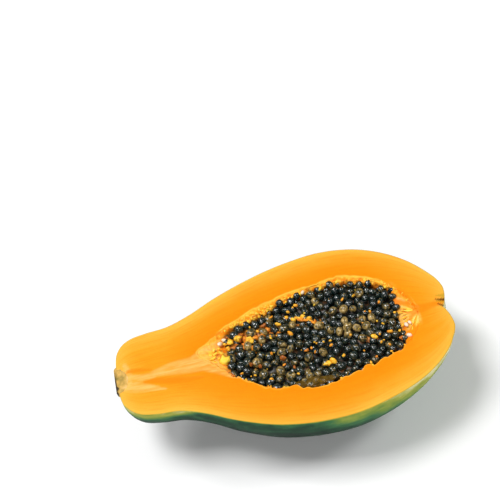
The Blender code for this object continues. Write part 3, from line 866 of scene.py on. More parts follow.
s_grid = np.linspace(0, 1, STUB_STEPS[0] + 1)[:, None]
angle_grid = np.linspace(0, math.pi, STUB_STEPS[1] + 1)[None]
turned = stub_point(*np.broadcast_arrays(s_grid, angle_grid))
lid_share = np.linspace(0, 1, LID_STEPS + 1)[None, :, None]
lid = turned[:, :1] + (turned[:, -1:] - turned[:, :1]) * lid_share
stub_points, stub_faces, _ = weld([turned, lid])
flat = stub_points[:, 2] > FACE - 0.125
stub_points[flat, 2] -= 0.1 * (1 + value_noise(stub_points[flat], 2.0, 11))
print("stub points", len(stub_points))

# %% Material of the stub
# dry wood scatters light and has no coat, so the eye sees a dull, rough plug beside the moist flesh
GRAIN_PATCH = 5.5  # mm across its tan and olive patches

wood, tree = new_material("papaya_stem_cut_dry")
place = node(tree, "TexCoord").outputs["Object"]
crust_share = node(tree, "Attribute", attribute_name="crust").outputs["Fac"]
patch = node(tree, "TexNoise", {"Vector": place, "Scale": 1 / (GRAIN_PATCH * MM), "Detail": 4.0})
tan = node(tree, "ValToRGB", {"Fac": patch}, stops=[
    (0.3, "#8f7d3a"), (0.42, "#bb9648"), (0.54, "#d9ac58"), (0.68, "#e8bf78")])
crusty = node(tree, "Mix", {0: crust_share, 6: tan, 7: "#3b3021"}, data_type="RGBA")
bump = node(tree, "Bump", {"Height": patch, "Strength": 0.5, "Distance": 0.5 * MM})
shader = node(tree, "BsdfPrincipled", {
    "Base Color": crusty, "Roughness": 0.7, "IOR": 1.45, "Specular IOR Level": 0.3, "Normal": bump})
node(tree, "OutputMaterial", {"Surface": shader})

# %% Make the stub
CRUST = 1.7  # mm of crust on the outer side

stub = add_mesh("stem_stub_cut", stub_points, stub_faces, wood)
crust_wave = 0.6 * value_noise(stub_points, 2.2, 12)
crust = np.clip((CRUST + 1.6 * crust_wave - (stub_points[:, 0] - STUB_X)) / 0.5, 0, 1)
paint(stub, crust=crust * np.clip((6 - stub_points[:, 1]) / 7, 0.25, 1))
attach(stub, "root")
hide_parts("stem_stub")

# %% [markdown]
# ## Where the seeds lie
#
# Some four hundred and sixty seeds show or nearly show. Real ones fell into place while the fruit grew and
# the knife pushed them about, so a regular pattern would look wrong, and a rigid body simulation would take
# long and spread them out of the cavity. Instead they start at random places in a layer some nine
# millimetres thick and push each other apart, round after round, while the cavity's wall and the top of the
# heap hold them in. The larger pale seeds and the row along the far rim start where the real ones lie, and
# hardly move.

# %% The top of the heap
SEED_X = (-39.0, 83.0)
HEAP_EDGE = 3.4  # mm under the face at the wall
HEAP_CROWN = 1.0  # mm under the face in the middle
NEAR_RISE = 1.6  # mm that the near edge lies higher than that
FAR_RISE = (2.6, -15.0, 12.0)  # the same at the far edge, and middle and half-width of a hollow in it
FURROW = np.array([(-4.0, 29.0), (54.0, 6.0)])
FURROW_WIDTH = 5.0
FURROW_DEPTH = 2.4
HUMMOCK = 0.8  # mm


def heap_top(x, y):
    """Height of the heap, which lies crown + (edge - crown) * max(out ** 2.5, ends ** 4) under the face,
    lower by depth * exp(-(aside / width) ** 2) along its furrow, and has shallow hummocks. The near edge is
    raised by 1.6 mm and the far edge by 2.6 mm, except in a hollow where fewer seeds lie."""
    middle = cavity_middle(x)
    reach = np.maximum(cavity_reach(x, HEAP_EDGE, np.sign(y - middle)), 1.0)
    out = np.clip(np.abs(y - middle) / reach, 0, 1)
    ends = np.clip(np.abs(2 * (x - SEED_X[0]) / (SEED_X[1] - SEED_X[0]) - 1), 0, 1)
    far_rise, hollow_middle, hollow_half = FAR_RISE
    hollow = far_rise * np.exp(-(((x - hollow_middle) / hollow_half) ** 2))
    rim_low = HEAP_EDGE + np.where(y > middle, hollow - far_rise, -NEAR_RISE)
    low = HEAP_CROWN + (rim_low - HEAP_CROWN) * np.maximum(out**2.5, ends**4)
    length = np.linalg.norm(FURROW[1] - FURROW[0])
    run = (FURROW[1] - FURROW[0]) / length
    forward = (x - FURROW[0, 0]) * run[0] + (y - FURROW[0, 1]) * run[1]
    aside = (x - FURROW[0, 0]) * run[1] - (y - FURROW[0, 1]) * run[0]
    past = np.maximum(0, np.abs(forward - 0.5 * length) - 0.5 * length)
    furrow = FURROW_DEPTH * np.exp(-((aside / FURROW_WIDTH) ** 2) - (past / FURROW_WIDTH) ** 2)
    hummocks = HUMMOCK * np.sin(x / 9) * np.sin(y / 7 + 1) * (1 - np.maximum(out, ends))
    return FACE - low - furrow + hummocks


print("heap at x = 20, y = 0 mm:", round(float(heap_top(20.0, 0.0)), 1), "mm high")

# %% Seeds whose places are known
PALE_SEEDS = np.array([  # x and y in mm of the larger seeds with a thick, pale sac
    (56.6, 5.2), (62.7, 4.1), (57.8, -3.7), (51.0, -2.6), (45.4, 0.3), (43.8, 7.5), (46.6, 14.9),
    (50.1, 14.4), (38.8, -1.2), (34.1, 0.7), (53.8, -9.2), (59.7, 28.9), (2.2, 10.6), (-8.1, 23.0),
    (-17.7, 13.8), (-13.1, 6.7), (-23.0, 4.3), (9.7, 12.3), (26.4, 6.7), (10.8, -4.2), (-0.6, -6.3),
    (-0.9, -1.8), (-20.4, -10.0), (13.7, -16.6), (26.2, -14.5), (4.0, -7.0), (-4.8, -21.6), (9.4, -32.6),
    (12.6, -31.2), (15.0, -34.4), (18.0, -31.6), (13.0, -36.2)])
PALEST = 10  # the first of them are the palest
RIM_SEEDS = np.array([  # the same for dark seeds that lie against the far rim
    (-20.8, 21.6), (-13.9, 19.1), (-3.9, 28.5), (-8.1, 22.9), (0.6, 29.4), (5.1, 32.4), (12.3, 31.4),
    (16.3, 34.0), (26.6, 32.7), (31.4, 34.6), (41.7, 38.1), (47.0, 30.1), (54.7, 33.4), (59.9, 29.2),
    (64.9, 32.1), (68.2, 24.0), (73.6, 24.6), (75.9, 19.7), (80.3, 16.3), (-26.2, 18.7), (-30.2, 15.6)])
SEEN_BACK = 2.0  # both were measured on the cut face, and a seed's middle lies 3 mm lower
known = np.concatenate([PALE_SEEDS, RIM_SEEDS]) + [0, SEEN_BACK]
print("known seeds", len(known))

# %% Start places and sizes
SEED_COUNT = 410  # at random places
SEED_LAYER = 9.0
SEED_HALF = (2.8, 3.5)  # half-lengths, mm
PALE_CHANCE = 0.04
JUICE_Y = -30.0  # nearer than this the known seeds lie in the juice
JUICE_HALF = 2.7
SEED_SPAN = 42.0  # mm, wider than any part of the heap
WALL_GAP = 2.4  # mm that a seed starts from the wall
SAC = 0.25  # mm that a thick sac adds
NECK_MORE = 0.14  # share that the seeds near the neck are larger
CLOSE = 0.92  # a seed pushes like a ball with this share of its half-length
draw = np.random.default_rng(21)

x = draw.uniform(SEED_X[0], SEED_X[1], 4 * SEED_COUNT)
y = draw.uniform(-SEED_SPAN, SEED_SPAN, 4 * SEED_COUNT)
aside = y - cavity_middle(x)
fits = np.abs(aside) < cavity_reach(x, HEAP_EDGE, np.sign(aside)) - WALL_GAP
x = np.concatenate([known[:, 0], x[fits][:SEED_COUNT]])
y = np.concatenate([known[:, 1], y[fits][:SEED_COUNT]])
placed = np.arange(len(x)) < len(known)
pale_seed = (np.arange(len(x)) < len(PALE_SEEDS)) | (~placed & (draw.random(len(x)) < PALE_CHANCE))
seed_half = draw.uniform(*SEED_HALF, len(x)) + np.where(pale_seed, SAC, 0)
seed_half *= 1 + NECK_MORE * np.clip((14 - x) / 40, 0, 1)
seed_half[placed & (y < JUICE_Y + SEEN_BACK)] = JUICE_HALF
ball = CLOSE * seed_half
lift = np.where(placed, 0.6, 0.6 - 3.0 * draw.random(len(x)) ** 1.5)  # a few stay up to 2.4 mm lower
start_under = np.where(placed, 0, draw.uniform(0, SEED_LAYER, len(x)))
seed_at = np.stack([x, y, heap_top(x, y) - ball - start_under], axis=1)
print("seeds", len(x), "of them pale", int(pale_seed.sum()))

# %% Push the seeds apart
ROUNDS = 130
YIELD = (0.3, 0.04)  # share of an overlap that a loose seed and a known one give way in a round
FLOAT = 0.03  # mm that every seed rises in a round, so that the top layer stays full

for _ in range(ROUNDS):
    apart = seed_at[:, None] - seed_at[None]
    gap = np.linalg.norm(apart, axis=2) + np.eye(len(x))
    push = np.maximum(0, ball[:, None] + ball[None] - gap)
    np.fill_diagonal(push, 0)
    give = np.where(placed, YIELD[1], YIELD[0])[:, None]
    seed_at = seed_at + give * (apart / gap[..., None] * push[..., None]).sum(axis=1)
    seed_at[:, 2] += FLOAT
    x, y, z = seed_at.T
    middle = cavity_middle(x)
    side = np.sign(y - middle)
    limit = cavity_reach(x, FACE - z, side) - 0.8 * ball - np.where(side > 0, 0.6 * (shelf(x) - SHELF), 0)
    y = middle + side * np.clip(np.abs(y - middle), 0, np.maximum(limit, 0))
    x = np.clip(x, SEED_X[0] + ball, SEED_X[1] - ball)
    top = heap_top(x, y)
    z = np.clip(z, top - SEED_LAYER - 2, np.minimum(top - ball + lift, FACE - 1.08 * seed_half))
    seed_at = np.stack([x, y, z], axis=1)
overlap = ball[:, None] + ball[None] - gap - 1e3 * np.eye(len(x))
print("deepest overlap, mm:", round(float(overlap.max()), 2))

# %% [markdown]
# ## Seeds as one joined mesh
#
# A papaya seed is a ridged black kernel in a sac of clear jelly, so from outside it is a smooth, glossy,
# slightly long ball, black-green where the jelly is thin and olive or tan where it is thick. Hundreds of
# objects would be slow to handle, so one low ball of sixty faces is worked out, and numpy turns, sizes and
# moves all its copies at once and joins them into one mesh. Crumbs of pulp are the same ball with more noise.

# %% One low ball
BALL_COLUMNS = 10
BALL_ROWS = 6


def unit_ball(columns, rows):
    """A ball of radius 1: (sin(a) * cos(b), sin(a) * sin(b), cos(a)), a from pole to pole, b round it."""
    a = np.linspace(0, math.pi, rows + 1)[1:-1, None]
    b = np.linspace(0, 2 * math.pi, columns, endpoint=False)[None]
    rings = np.stack([np.sin(a) * np.cos(b), np.sin(a) * np.sin(b), np.cos(a) + 0 * b], axis=-1)
    ball_points = np.concatenate([[(0, 0, 1)], rings.reshape(-1, 3), [(0, 0, -1)]])
    first = 1 + np.arange(columns)
    after = np.roll(first, -1)
    last = len(ball_points) - 1
    quads = []
    for row in range(rows - 2):
        step = row * columns
        quads.append(np.stack([first, first + columns, after + columns, after], axis=1) + step)
    end = (rows - 2) * columns
    caps = np.concatenate([np.stack([first * 0, first, after], axis=1),
                           np.stack([first * 0 + last, after + end, first + end], axis=1)])
    return ball_points, np.concatenate(quads), caps


points_each = len(unit_ball(BALL_COLUMNS, BALL_ROWS)[0])
print("points of a ball", points_each)

# %% Turned and joined copies


def random_turns(count, draw):
    """Rotation matrices from random unit quaternions."""
    q = draw.normal(size=(4, count))
    w, x, y, z = q / np.linalg.norm(q, axis=0)
    return np.array([
        [1 - 2 * (y * y + z * z), 2 * (x * y - z * w), 2 * (x * z + y * w)],
        [2 * (x * y + z * w), 1 - 2 * (x * x + z * z), 2 * (y * z - x * w)],
        [2 * (x * z - y * w), 2 * (y * z + x * w), 1 - 2 * (x * x + y * y)]]).transpose(2, 0, 1)


def level_turns(angles):
    """Rotation matrices about the upright axis, through each angle."""
    made = np.zeros((len(angles), 3, 3))
    made[:, 0, 0] = np.cos(angles)
    made[:, 0, 1] = -np.sin(angles)
    made[:, 1, 0] = np.sin(angles)
    made[:, 1, 1] = np.cos(angles)
    made[:, 2, 2] = 1
    return made


def joined_balls(name, centres, sizes, material, lump, size, turns):
    """Copies of the ball: centre + turn * (ball * sizes * (1 + lump * noise)), where no point stands above
    the cut face. Returns the object and each point's place on its own ball."""
    ball_points, quads, caps = unit_ball(BALL_COLUMNS, BALL_ROWS)
    shaped = ball_points[None] * sizes[:, None]
    turned = np.einsum("nij,npj->npi", turns, shaped)
    bumps = 1 + lump * value_noise(turned + 100 * np.arange(len(centres))[:, None, None], size, 13)
    placed = centres[:, None] + turned * bumps[..., None]
    placed[..., 2] = np.minimum(placed[..., 2], FACE - 0.05)
    step = (np.arange(len(centres)) * len(ball_points))[:, None, None]
    all_faces = (quads[None] + step).reshape(-1, 4).tolist() + (caps[None] + step).reshape(-1, 3).tolist()
    made = add_mesh(name, placed.reshape(-1, 3), all_faces, material)
    return made, np.tile(ball_points, (len(centres), 1))


# %% [markdown]
# ## Wet papaya seeds
#
# The jelly sac gives each seed a wet coat over a darker inside. A Principled coat does the wet part: its high
# IOR gives each seed the sharp white glint that tells the eye it is wet, weaker on the pale seeds, whose sac
# is thick and dull. The tone of each seed comes from one number that all its points share, and fine stripes
# run from pole to pole, where the ridges of the kernel show through.

# %% Material of the seeds
BLOT = 2.6  # mm across the blots of thicker jelly
STRIPES = 2.6  # features to a ball's radius, drawn out three times as long from pole to pole

seed_coat, tree = new_material("papaya_seed_wet_sac")
place = node(tree, "TexCoord").outputs["Object"]
tone = node(tree, "Attribute", attribute_name="tone").outputs["Fac"]
on_ball = node(tree, "Attribute", attribute_name="on_ball").outputs["Vector"]
stretched = node(tree, "Mapping", {"Vector": on_ball, "Scale": (1.0, 1.0, 0.3)})
stripes = node(tree, "TexNoise", {"Vector": stretched, "Scale": STRIPES, "Detail": 3.0})
blots = node(tree, "TexNoise", {"Vector": place, "Scale": 1 / (BLOT * MM), "Detail": 4.0})
wrinkles = node(tree, "Math", {0: stripes, 1: blots}, operation="ADD")
uneven = node(tree, "MapRange", {
    "Value": wrinkles, "From Min": 0.7, "From Max": 1.3, "To Min": -0.38, "To Max": 0.38})
shade = node(tree, "Math", {0: tone, 1: uneven}, operation="ADD", use_clamp=True)
sac = node(tree, "ValToRGB", {"Fac": shade}, stops=[
    (0.0, "#031213"), (0.28, "#0a211e"), (0.42, "#232e1f"), (0.56, "#564a26"), (0.74, "#967c42"),
    (1.0, "#ccae70")])
wetness = node(tree, "MapRange", {
    "Value": tone, "From Min": 0.5, "From Max": 0.7, "To Min": 1.0, "To Max": 0.6})
bump = node(tree, "Bump", {"Height": wrinkles, "Strength": 0.55, "Distance": 0.5 * MM})
shader = node(tree, "BsdfPrincipled", {
    "Base Color": sac, "Roughness": 0.5, "IOR": 1.4, "Specular IOR Level": 0.2, "Coat Weight": wetness,
    "Coat Roughness": 0.07, "Coat IOR": 1.75, "Normal": bump, "Coat Normal": bump})
node(tree, "OutputMaterial", {"Surface": shader})
print("nodes in the seeds", len(tree.nodes))

# %% Make the seeds
SLIM = (0.74, 0.97)  # width as a share of the length
SEED_LUMP = (0.05, 2.4)  # share of the radius, and mm across its lumps

slim = draw.uniform(*SLIM, len(seed_at))
sizes = np.stack([seed_half * slim, seed_half * slim * 0.96, seed_half], axis=1)
turns = random_turns(len(seed_at), draw)
seeds, on_ball = joined_balls("papaya_seeds", seed_at, sizes, seed_coat, *SEED_LUMP, turns)

# %% Give each seed its tone, from 0, black-green, to 1, tan
tone = np.where(pale_seed, draw.uniform(0.52, 0.74, len(seed_at)), draw.uniform(0.08, 0.5, len(seed_at)))
tone[:PALEST] = draw.uniform(0.64, 0.82, PALEST)
paint(seeds, tone=np.repeat(np.clip(tone, 0, 1), points_each), on_ball=on_ball)
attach(seeds, "root")
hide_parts("seed_heap")
print("mean tone", round(float(tone.mean()), 2))

# %% [markdown]
# ## What lies under the seeds
#
# The lower layers of the heap hardly show as single seeds, only as darkness between the upper ones. One
# closed lump fills the cavity under them, with its top a few millimetres down. In a few patches wet orange
# pulp shows through instead, and the lump rises there.

# %% The form of the dark mass
CORE_SINK = 6.5  # mm from the heap's top to the mass
CORE_CLEAR = 1.4  # mm between the mass and the cavity's wall
CORE_STEPS = (90, 48)
CORE_LUMP = 1.2  # mm
PULP_PATCHES = [(-14, 16, 14, 6.5), (20, 16, 11, 4), (-31, 9, 6, 5), (58, -9, 7, 3.5)]  # x, y, half-sizes
PULP_RISE = 2.4  # mm that the mass rises there


def pulp_share(x, y):
    """Where pulp shows between the seeds: the strongest of exp(-(dx / half) ** 2 - (dy / half) ** 2)."""
    return np.max([np.exp(-(((x - a) / c) ** 2) - ((y - b) / d) ** 2) for a, b, c, d in PULP_PATCHES], axis=0)


u = np.linspace(0, 1, CORE_STEPS[0] + 1)[:, None]
w = np.linspace(1, -1, CORE_STEPS[1] + 1)[None]
core_x = SEED_X[0] + 2 + (SEED_X[1] - SEED_X[0] - 4) * (1 - np.cos(math.pi * u)) / 2 + 0 * w
side = np.where(w > 0, 1, -1) + 0 * u
core_reach = np.maximum(cavity_reach(core_x, HEAP_EDGE + 5, side) - CORE_CLEAR, 0.5)
core_y = cavity_middle(core_x) + core_reach * w
core_top = heap_top(core_x, core_y) - CORE_SINK + PULP_RISE * pulp_share(core_x, core_y)
core_top += CORE_LUMP * value_noise(np.stack([core_x, core_y, 0 * core_x], axis=-1), 3.0, 14)
core_depth = cavity_section(core_x)[2]
bowl = (1 - np.abs(w) ** WALL_POWER) ** (1 / WALL_POWER) * np.sin(math.pi * u) ** 0.4
core_floor = core_top - np.maximum(core_depth - CORE_CLEAR - (FACE - core_top), 0.3) * bowl
upper = np.stack([core_x, core_y, core_top], axis=-1)
lower = np.stack([core_x, core_y, core_floor], axis=-1)
core_points, core_faces, _ = weld([upper, lower])
print("mass points", len(core_points), "top at most, mm:", round(float(core_top.max()), 1))

# %% Material and piece of the dark mass
# shaded seeds and wet pulp: nearly black with brown blotches, and orange-brown in the patches
BLOTCH = 5.0  # mm

mass_dark, tree = new_material("papaya_seed_mass_shaded")
place = node(tree, "TexCoord").outputs["Object"]
patch = node(tree, "Attribute", attribute_name="pulp").outputs["Fac"]
blotch = node(tree, "TexNoise", {"Vector": place, "Scale": 1 / (BLOTCH * MM), "Detail": 3.0})
dark = node(tree, "ValToRGB", {"Fac": blotch}, stops=[
    (0.35, "#0b0f0c"), (0.55, "#1d1a10"), (0.68, "#5a3512"), (0.8, "#a8601a")])
wet = node(tree, "ValToRGB", {"Fac": blotch}, stops=[
    (0.35, "#a25416"), (0.5, "#d07a24"), (0.65, "#f0a038")])
patch = node(tree, "MapRange", {"Value": patch, "From Min": 0.25, "From Max": 0.6})
shown = node(tree, "Mix", {0: patch, 6: dark, 7: wet}, data_type="RGBA")
shader = node(tree, "BsdfPrincipled", {"Base Color": shown, "Roughness": 0.4})
node(tree, "OutputMaterial", {"Surface": shader})
core = add_mesh("seed_mass_below", core_points, core_faces, mass_dark)
paint(core, pulp=pulp_share(core_points[:, 0], core_points[:, 1]))
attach(core, "root")

# %% [markdown]
# ## Pulp among the seeds
#
# Crumbs of the cavity's lining cling between the seeds: yellow where they are dry and thin, orange and brown
# where they are wet. The larger ones stand where the real ones do. Others lie loose on the heap, along the
# furrow across it and deep between the seeds near the neck. Tatters hang on the torn lining, and thin strands
# run from both ends of the cavity towards the seeds. All are the low ball again, in other sizes and with
# much more noise. Sculpted crumbs would look no better at their size.

# %% Lumps of pulp whose places are known
PULP_LUMPS = np.array([  # x, y, half-size in mm and tone from 0, yellow, to 1, brown-orange
    (8.8, 24.1, 1.3, 0.2), (14.9, 26.9, 1.3, 0.3), (17.8, 17.8, 2.0, 0.1), (21.5, 14.6, 2.4, 0.1),
    (25.5, 10.9, 2.1, 0.45), (10.8, 16.3, 1.9, 0.05), (6.6, 19.6, 1.5, 0.3), (-3.3, 22.7, 1.4, 0.3),
    (0.1, 14.7, 2.0, 0.15), (6.5, 5.9, 1.9, 0.25), (-13.6, 12.6, 1.6, 0.3), (-20.5, 7.9, 2.4, 0.1),
    (-9.3, 16.5, 2.2, 0.8), (21.3, -6.2, 1.2, 0.2), (26.9, -7.7, 1.2, 0.25), (15.6, -10.7, 1.4, 0.5),
    (20.2, -13.8, 1.4, 0.5), (-8.1, -7.0, 1.1, 0.3), (-1.1, -13.0, 1.9, 0.85), (-1.8, -18.5, 1.4, 0.45),
    (6.3, -27.1, 1.8, 0.2), (-17.1, -15.1, 1.7, 0.85), (-11.9, -26.9, 1.7, 0.15), (-23.3, -11.8, 2.2, 0.9),
    (4.6, -21.8, 1.3, 0.7), (-30.3, -17.1, 1.4, 0.2), (-21.6, -21.1, 1.2, 0.1), (26.9, -24.7, 2.2, 0.1),
    (-27.9, -22.5, 1.2, 0.3), (54.6, 23.9, 1.8, 0.15), (46.7, 22.7, 1.3, 0.3), (69.6, 13.6, 1.2, 0.35),
    (62.1, 8.1, 1.8, 0.3), (71.8, -10.9, 2.0, 0.3), (60.8, -12.2, 2.2, 0.1), (66.2, -16.4, 1.0, 0.1),
    (69.3, -21.0, 1.3, 0.4), (45.8, -6.4, 1.3, 0.3), (78.4, 2.7, 1.2, 0.05), (54.2, -31.2, 1.4, 0.2),
    (58.8, -27.9, 1.1, 0.5), (37.8, -21.3, 1.7, 0.15), (30.4, -24.1, 2.2, 0.1), (31.5, -11.5, 1.1, 0.35),
    (77.7, -17.8, 1.9, 0.7), (78.2, -11.8, 1.2, 0.2), (69.3, -26.0, 1.2, 0.1),
    (-33.9, 9.4, 2.2, 0.1), (-27.6, 11.7, 2.2, 0.15), (-36.0, 4.2, 1.8, 0.2), (-37.0, -16.5, 1.6, 0.6),
    (33.5, 36.2, 2.4, 0.0), (-28.8, 11.4, 2.6, 0.05), (-21.4, 8.2, 2.6, 0.2), (-40.0, -2.0, 4.4, -0.3),
    (-45.4, 3.6, 2.4, 0.0), (-47.4, 0.8, 2.2, -0.1), (-37.6, 9.6, 2.2, 0.1), (-34.2, 10.0, 2.2, 0.05),
    (-45.6, 6.8, 2.0, 0.1), (-42.2, 7.2, 2.0, 0.0), (-43.4, -1.0, 1.8, 0.1), (-41.4, 3.4, 2.2, 0.1),
    (-39.0, -12.8, 1.8, 0.5), (-36.8, -16.6, 2.6, 0.6), (-33.0, -19.6, 1.3, 0.25), (0.5, -36.0, 1.5, 0.2),
    (3.8, -36.6, 1.2, 0.1),
])
RIM_LUMPS = 14  # the last of them lie on the lining or on the rim
LUMP_SCALE = 0.88  # made a little smaller than measured, because their noise adds to it
LUMP_TONE = 0.12  # and a little browner, because the lamps brighten them
print("known lumps", len(PULP_LUMPS))

# %% Loose crumbs, pulp along the furrow and between the seeds
PULP_CRUMBS = 32
PULP_SPAN = 38.0  # mm, they start no further out than this
FURROW_PULP = 16
PULP_BETWEEN = 22
PULP_KINDS = np.array([  # half-size from and to, tone from and to, and mm sunk into the heap
    (0.0, 0.0, 0.0, 0.0, 0.8),  # the known lumps, which have sizes and tones of their own
    (0.5, 1.1, 0.0, 0.7, 1.4),  # loose crumbs
    (1.3, 2.3, 0.3, 0.55, 0.9),  # along the furrow
    (2.2, 3.4, 0.5, 0.85, 4.2),  # between the seeds
])

pulp_x = draw.uniform(SEED_X[0] + 6, SEED_X[1] - 6, 3 * PULP_CRUMBS)
pulp_y = draw.uniform(-PULP_SPAN, PULP_SPAN, 3 * PULP_CRUMBS)
aside = pulp_y - cavity_middle(pulp_x)
fits = np.abs(aside) < cavity_reach(pulp_x, HEAP_EDGE, np.sign(aside)) - 3
loose = min(int(fits.sum()), PULP_CRUMBS)
furrow_share = draw.random(FURROW_PULP)
furrow_x = 12 + 17 * furrow_share + draw.normal(0, 0.6, FURROW_PULP)
furrow_y = 20 - 11 * furrow_share + draw.normal(0, 0.6, FURROW_PULP)
between_x = draw.normal(-19, 10, PULP_BETWEEN)
between_y = draw.normal(11, 5, PULP_BETWEEN)
pulp_x = np.concatenate([PULP_LUMPS[:, 0], pulp_x[fits][:loose], furrow_x, between_x])
pulp_y = np.concatenate([PULP_LUMPS[:, 1], pulp_y[fits][:loose], furrow_y, between_y])
print("pieces of pulp on the heap", len(pulp_x))

# %% Their sizes, tones and heights
kind = np.repeat(np.arange(4), [len(PULP_LUMPS), loose, FURROW_PULP, PULP_BETWEEN])
half_from, half_to, tone_from, tone_to, sunk = PULP_KINDS[kind].T
pulp_half = draw.uniform(half_from, half_to)
pulp_tone = draw.uniform(tone_from, tone_to)
known_lump = kind == 0
pulp_y += 0.75 * SEEN_BACK * known_lump
pulp_half[known_lump] = LUMP_SCALE * PULP_LUMPS[:, 2]
pulp_tone[known_lump] = PULP_LUMPS[:, 3] + LUMP_TONE
pulp_z = np.minimum(heap_top(pulp_x, pulp_y) - sunk, FACE - 1.1 * pulp_half)
on_rim = slice(len(PULP_LUMPS) - RIM_LUMPS, len(PULP_LUMPS))
pulp_z[on_rim] = FACE - 0.6 * pulp_half[on_rim] - 0.4
pulp_y[on_rim] -= 0.75 * SEEN_BACK
print("largest lump, mm:", round(2 * float(pulp_half.max()), 1))

# %% Tatters on the torn lining
TATTERS = 320
NECK_TATTERS = 140  # of them, on the stretch of far wall that shows most
FAR_TATTERS = 0.8  # share on the far side

tatter_t = draw.uniform(0.14, 0.95, TATTERS)
tatter_t[:NECK_TATTERS] = draw.uniform(0.27, 0.42, NECK_TATTERS)
tatter_turn = np.arcsin((draw.uniform(0.4, 4.2, TATTERS) / 34) ** (WALL_POWER / 2))
tatter_turn = np.where(draw.random(TATTERS) < FAR_TATTERS, tatter_turn, math.pi - tatter_turn)
tatter_at = cavity_point(tatter_t, tatter_turn)
tatter_half = draw.uniform(0.6, 1.6, TATTERS)
tatter_at[:, 2] = np.minimum(tatter_at[:, 2], FACE - 1.1 * tatter_half)
print("tatters between x =", tatter_at[:, 0].min().round(), "and", tatter_at[:, 0].max().round(), "mm")

# %% Strands from both ends of the cavity towards the seeds
STRANDS = 32
BLOSSOM_STRANDS = 26
NECK_HUB = (CAVITY_X[0], 6.5)

strand_end = np.where(np.arange(STRANDS) < BLOSSOM_STRANDS, 1, -1)
strand_angle = draw.uniform(-1.15, 1.15, STRANDS)
strand_out = np.where(strand_end > 0, draw.uniform(5, 13, STRANDS), draw.uniform(8, 15, STRANDS))
hub_x = np.where(strand_end > 0, SPOKE_HUB[0], NECK_HUB[0])
strand_x = hub_x - strand_end * strand_out * np.cos(strand_angle)
strand_y = np.where(strand_end > 0, SPOKE_HUB[1], NECK_HUB[1]) + strand_out * np.sin(strand_angle)
strand_z = FACE - 0.8 - 0.14 * strand_out - draw.uniform(0, 0.7, STRANDS)
strand_half = draw.uniform(2.0, 3.6, STRANDS)
print("strands", STRANDS, "up to", round(2 * float(strand_half.max()), 1), "mm long")

# %% Put all the pulp together
pulp_at = np.concatenate([np.stack([pulp_x, pulp_y, pulp_z], axis=1), tatter_at,
                          np.stack([strand_x, strand_y, strand_z], axis=1)])
pulp_half = np.concatenate([pulp_half, tatter_half, strand_half])
pulp_tone = np.concatenate([pulp_tone, draw.uniform(0.05, 0.5, TATTERS), draw.uniform(-0.1, 0.4, STRANDS)])
print("pieces of pulp", len(pulp_at))

# %% Material of the pulp
# soft wet tissue again, torn into crumbs: a low roughness makes them look moist, and the light that comes
# through them keeps the thin ones bright yellow
GRAIN = 1.3  # mm

pulp, tree = new_material("papaya_pulp_torn_wet")
place = node(tree, "TexCoord").outputs["Object"]
tone = node(tree, "Attribute", attribute_name="tone").outputs["Fac"]
grain = node(tree, "TexNoise", {"Vector": place, "Scale": 1 / (GRAIN * MM), "Detail": 3.0})
patchy = node(tree, "MapRange", {
    "Value": grain, "From Min": 0.3, "From Max": 0.7, "To Min": -0.28, "To Max": 0.28})
patchy = node(tree, "Math", {0: tone, 1: patchy}, operation="ADD", use_clamp=True)
colour = node(tree, "ValToRGB", {"Fac": patchy}, stops=[
    (0.0, "#ffd544"), (0.3, "#fdb92e"), (0.6, "#ee8d26"), (0.8, "#c06c24"), (1.0, "#90501d")])
bump = node(tree, "Bump", {"Height": grain, "Strength": 0.5, "Distance": 0.4 * MM})
shader = node(tree, "BsdfPrincipled", {
    "Base Color": colour, "Roughness": 0.35, "IOR": 1.38, "Normal": bump, "Subsurface Weight": 0.1,
    "Subsurface Radius": (1.0, 0.35, 0.1), "Subsurface Scale": 1.0 * MM})
node(tree, "OutputMaterial", {"Surface": shader})

# %% Shapes and turns of the pulp
# each piece is a ball with its own three half-axes, as shares of its half-size
in_furrow = np.flatnonzero(kind == 2)
lumps = len(PULP_LUMPS)
shape_share = draw.uniform(0.35, 1.0, (len(pulp_at), 3))
shape_share[:lumps] = draw.uniform([0.5, 0.7, 0.9], [0.75, 1.0, 1.3], (lumps, 3))
shape_share[-STRANDS:] = draw.uniform([0.9, 0.12, 0.12], [1.1, 0.26, 0.2], (STRANDS, 3))
shape_share[on_rim] = draw.uniform([0.9, 0.35, 0.35], [1.4, 0.6, 0.55], (RIM_LUMPS, 3))
shape_share[on_rim.start] = (1.0, 0.85, 0.6)  # the big yellow one
shape_share[in_furrow] = draw.uniform([0.9, 0.28, 0.3], [1.1, 0.5, 0.45], (FURROW_PULP, 3))
turns = random_turns(len(pulp_at), draw)
turns[-STRANDS:] = level_turns(-strand_end * strand_angle)
turns[on_rim] = level_turns(draw.uniform(-0.9, 0.9, RIM_LUMPS))
turns[in_furrow] = level_turns(draw.uniform(-0.9, -0.3, FURROW_PULP))
print("thinnest strand, mm:", round(float((pulp_half[:, None] * shape_share)[-STRANDS:].min()) * 2, 1))

# %% Make the pulp
PULP_LUMP = (0.7, 1.5)  # share of the radius, and mm across its lumps

crumbs, _ = joined_balls("pulp_crumbs", pulp_at, pulp_half[:, None] * shape_share, pulp, *PULP_LUMP, turns)
paint(crumbs, tone=np.repeat(pulp_tone, points_each))
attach(crumbs, "root")

# %% [markdown]
# ## Unripe seeds
#
# At both ends of the cavity a few seeds never ripened, and stayed small, soft and creamy white. They have
# the same form as the ripe ones, so they are the same ball again, a little slimmer, with a wet coat.

# %% Unripe seeds
CREAM_PATCH = 1.4  # mm

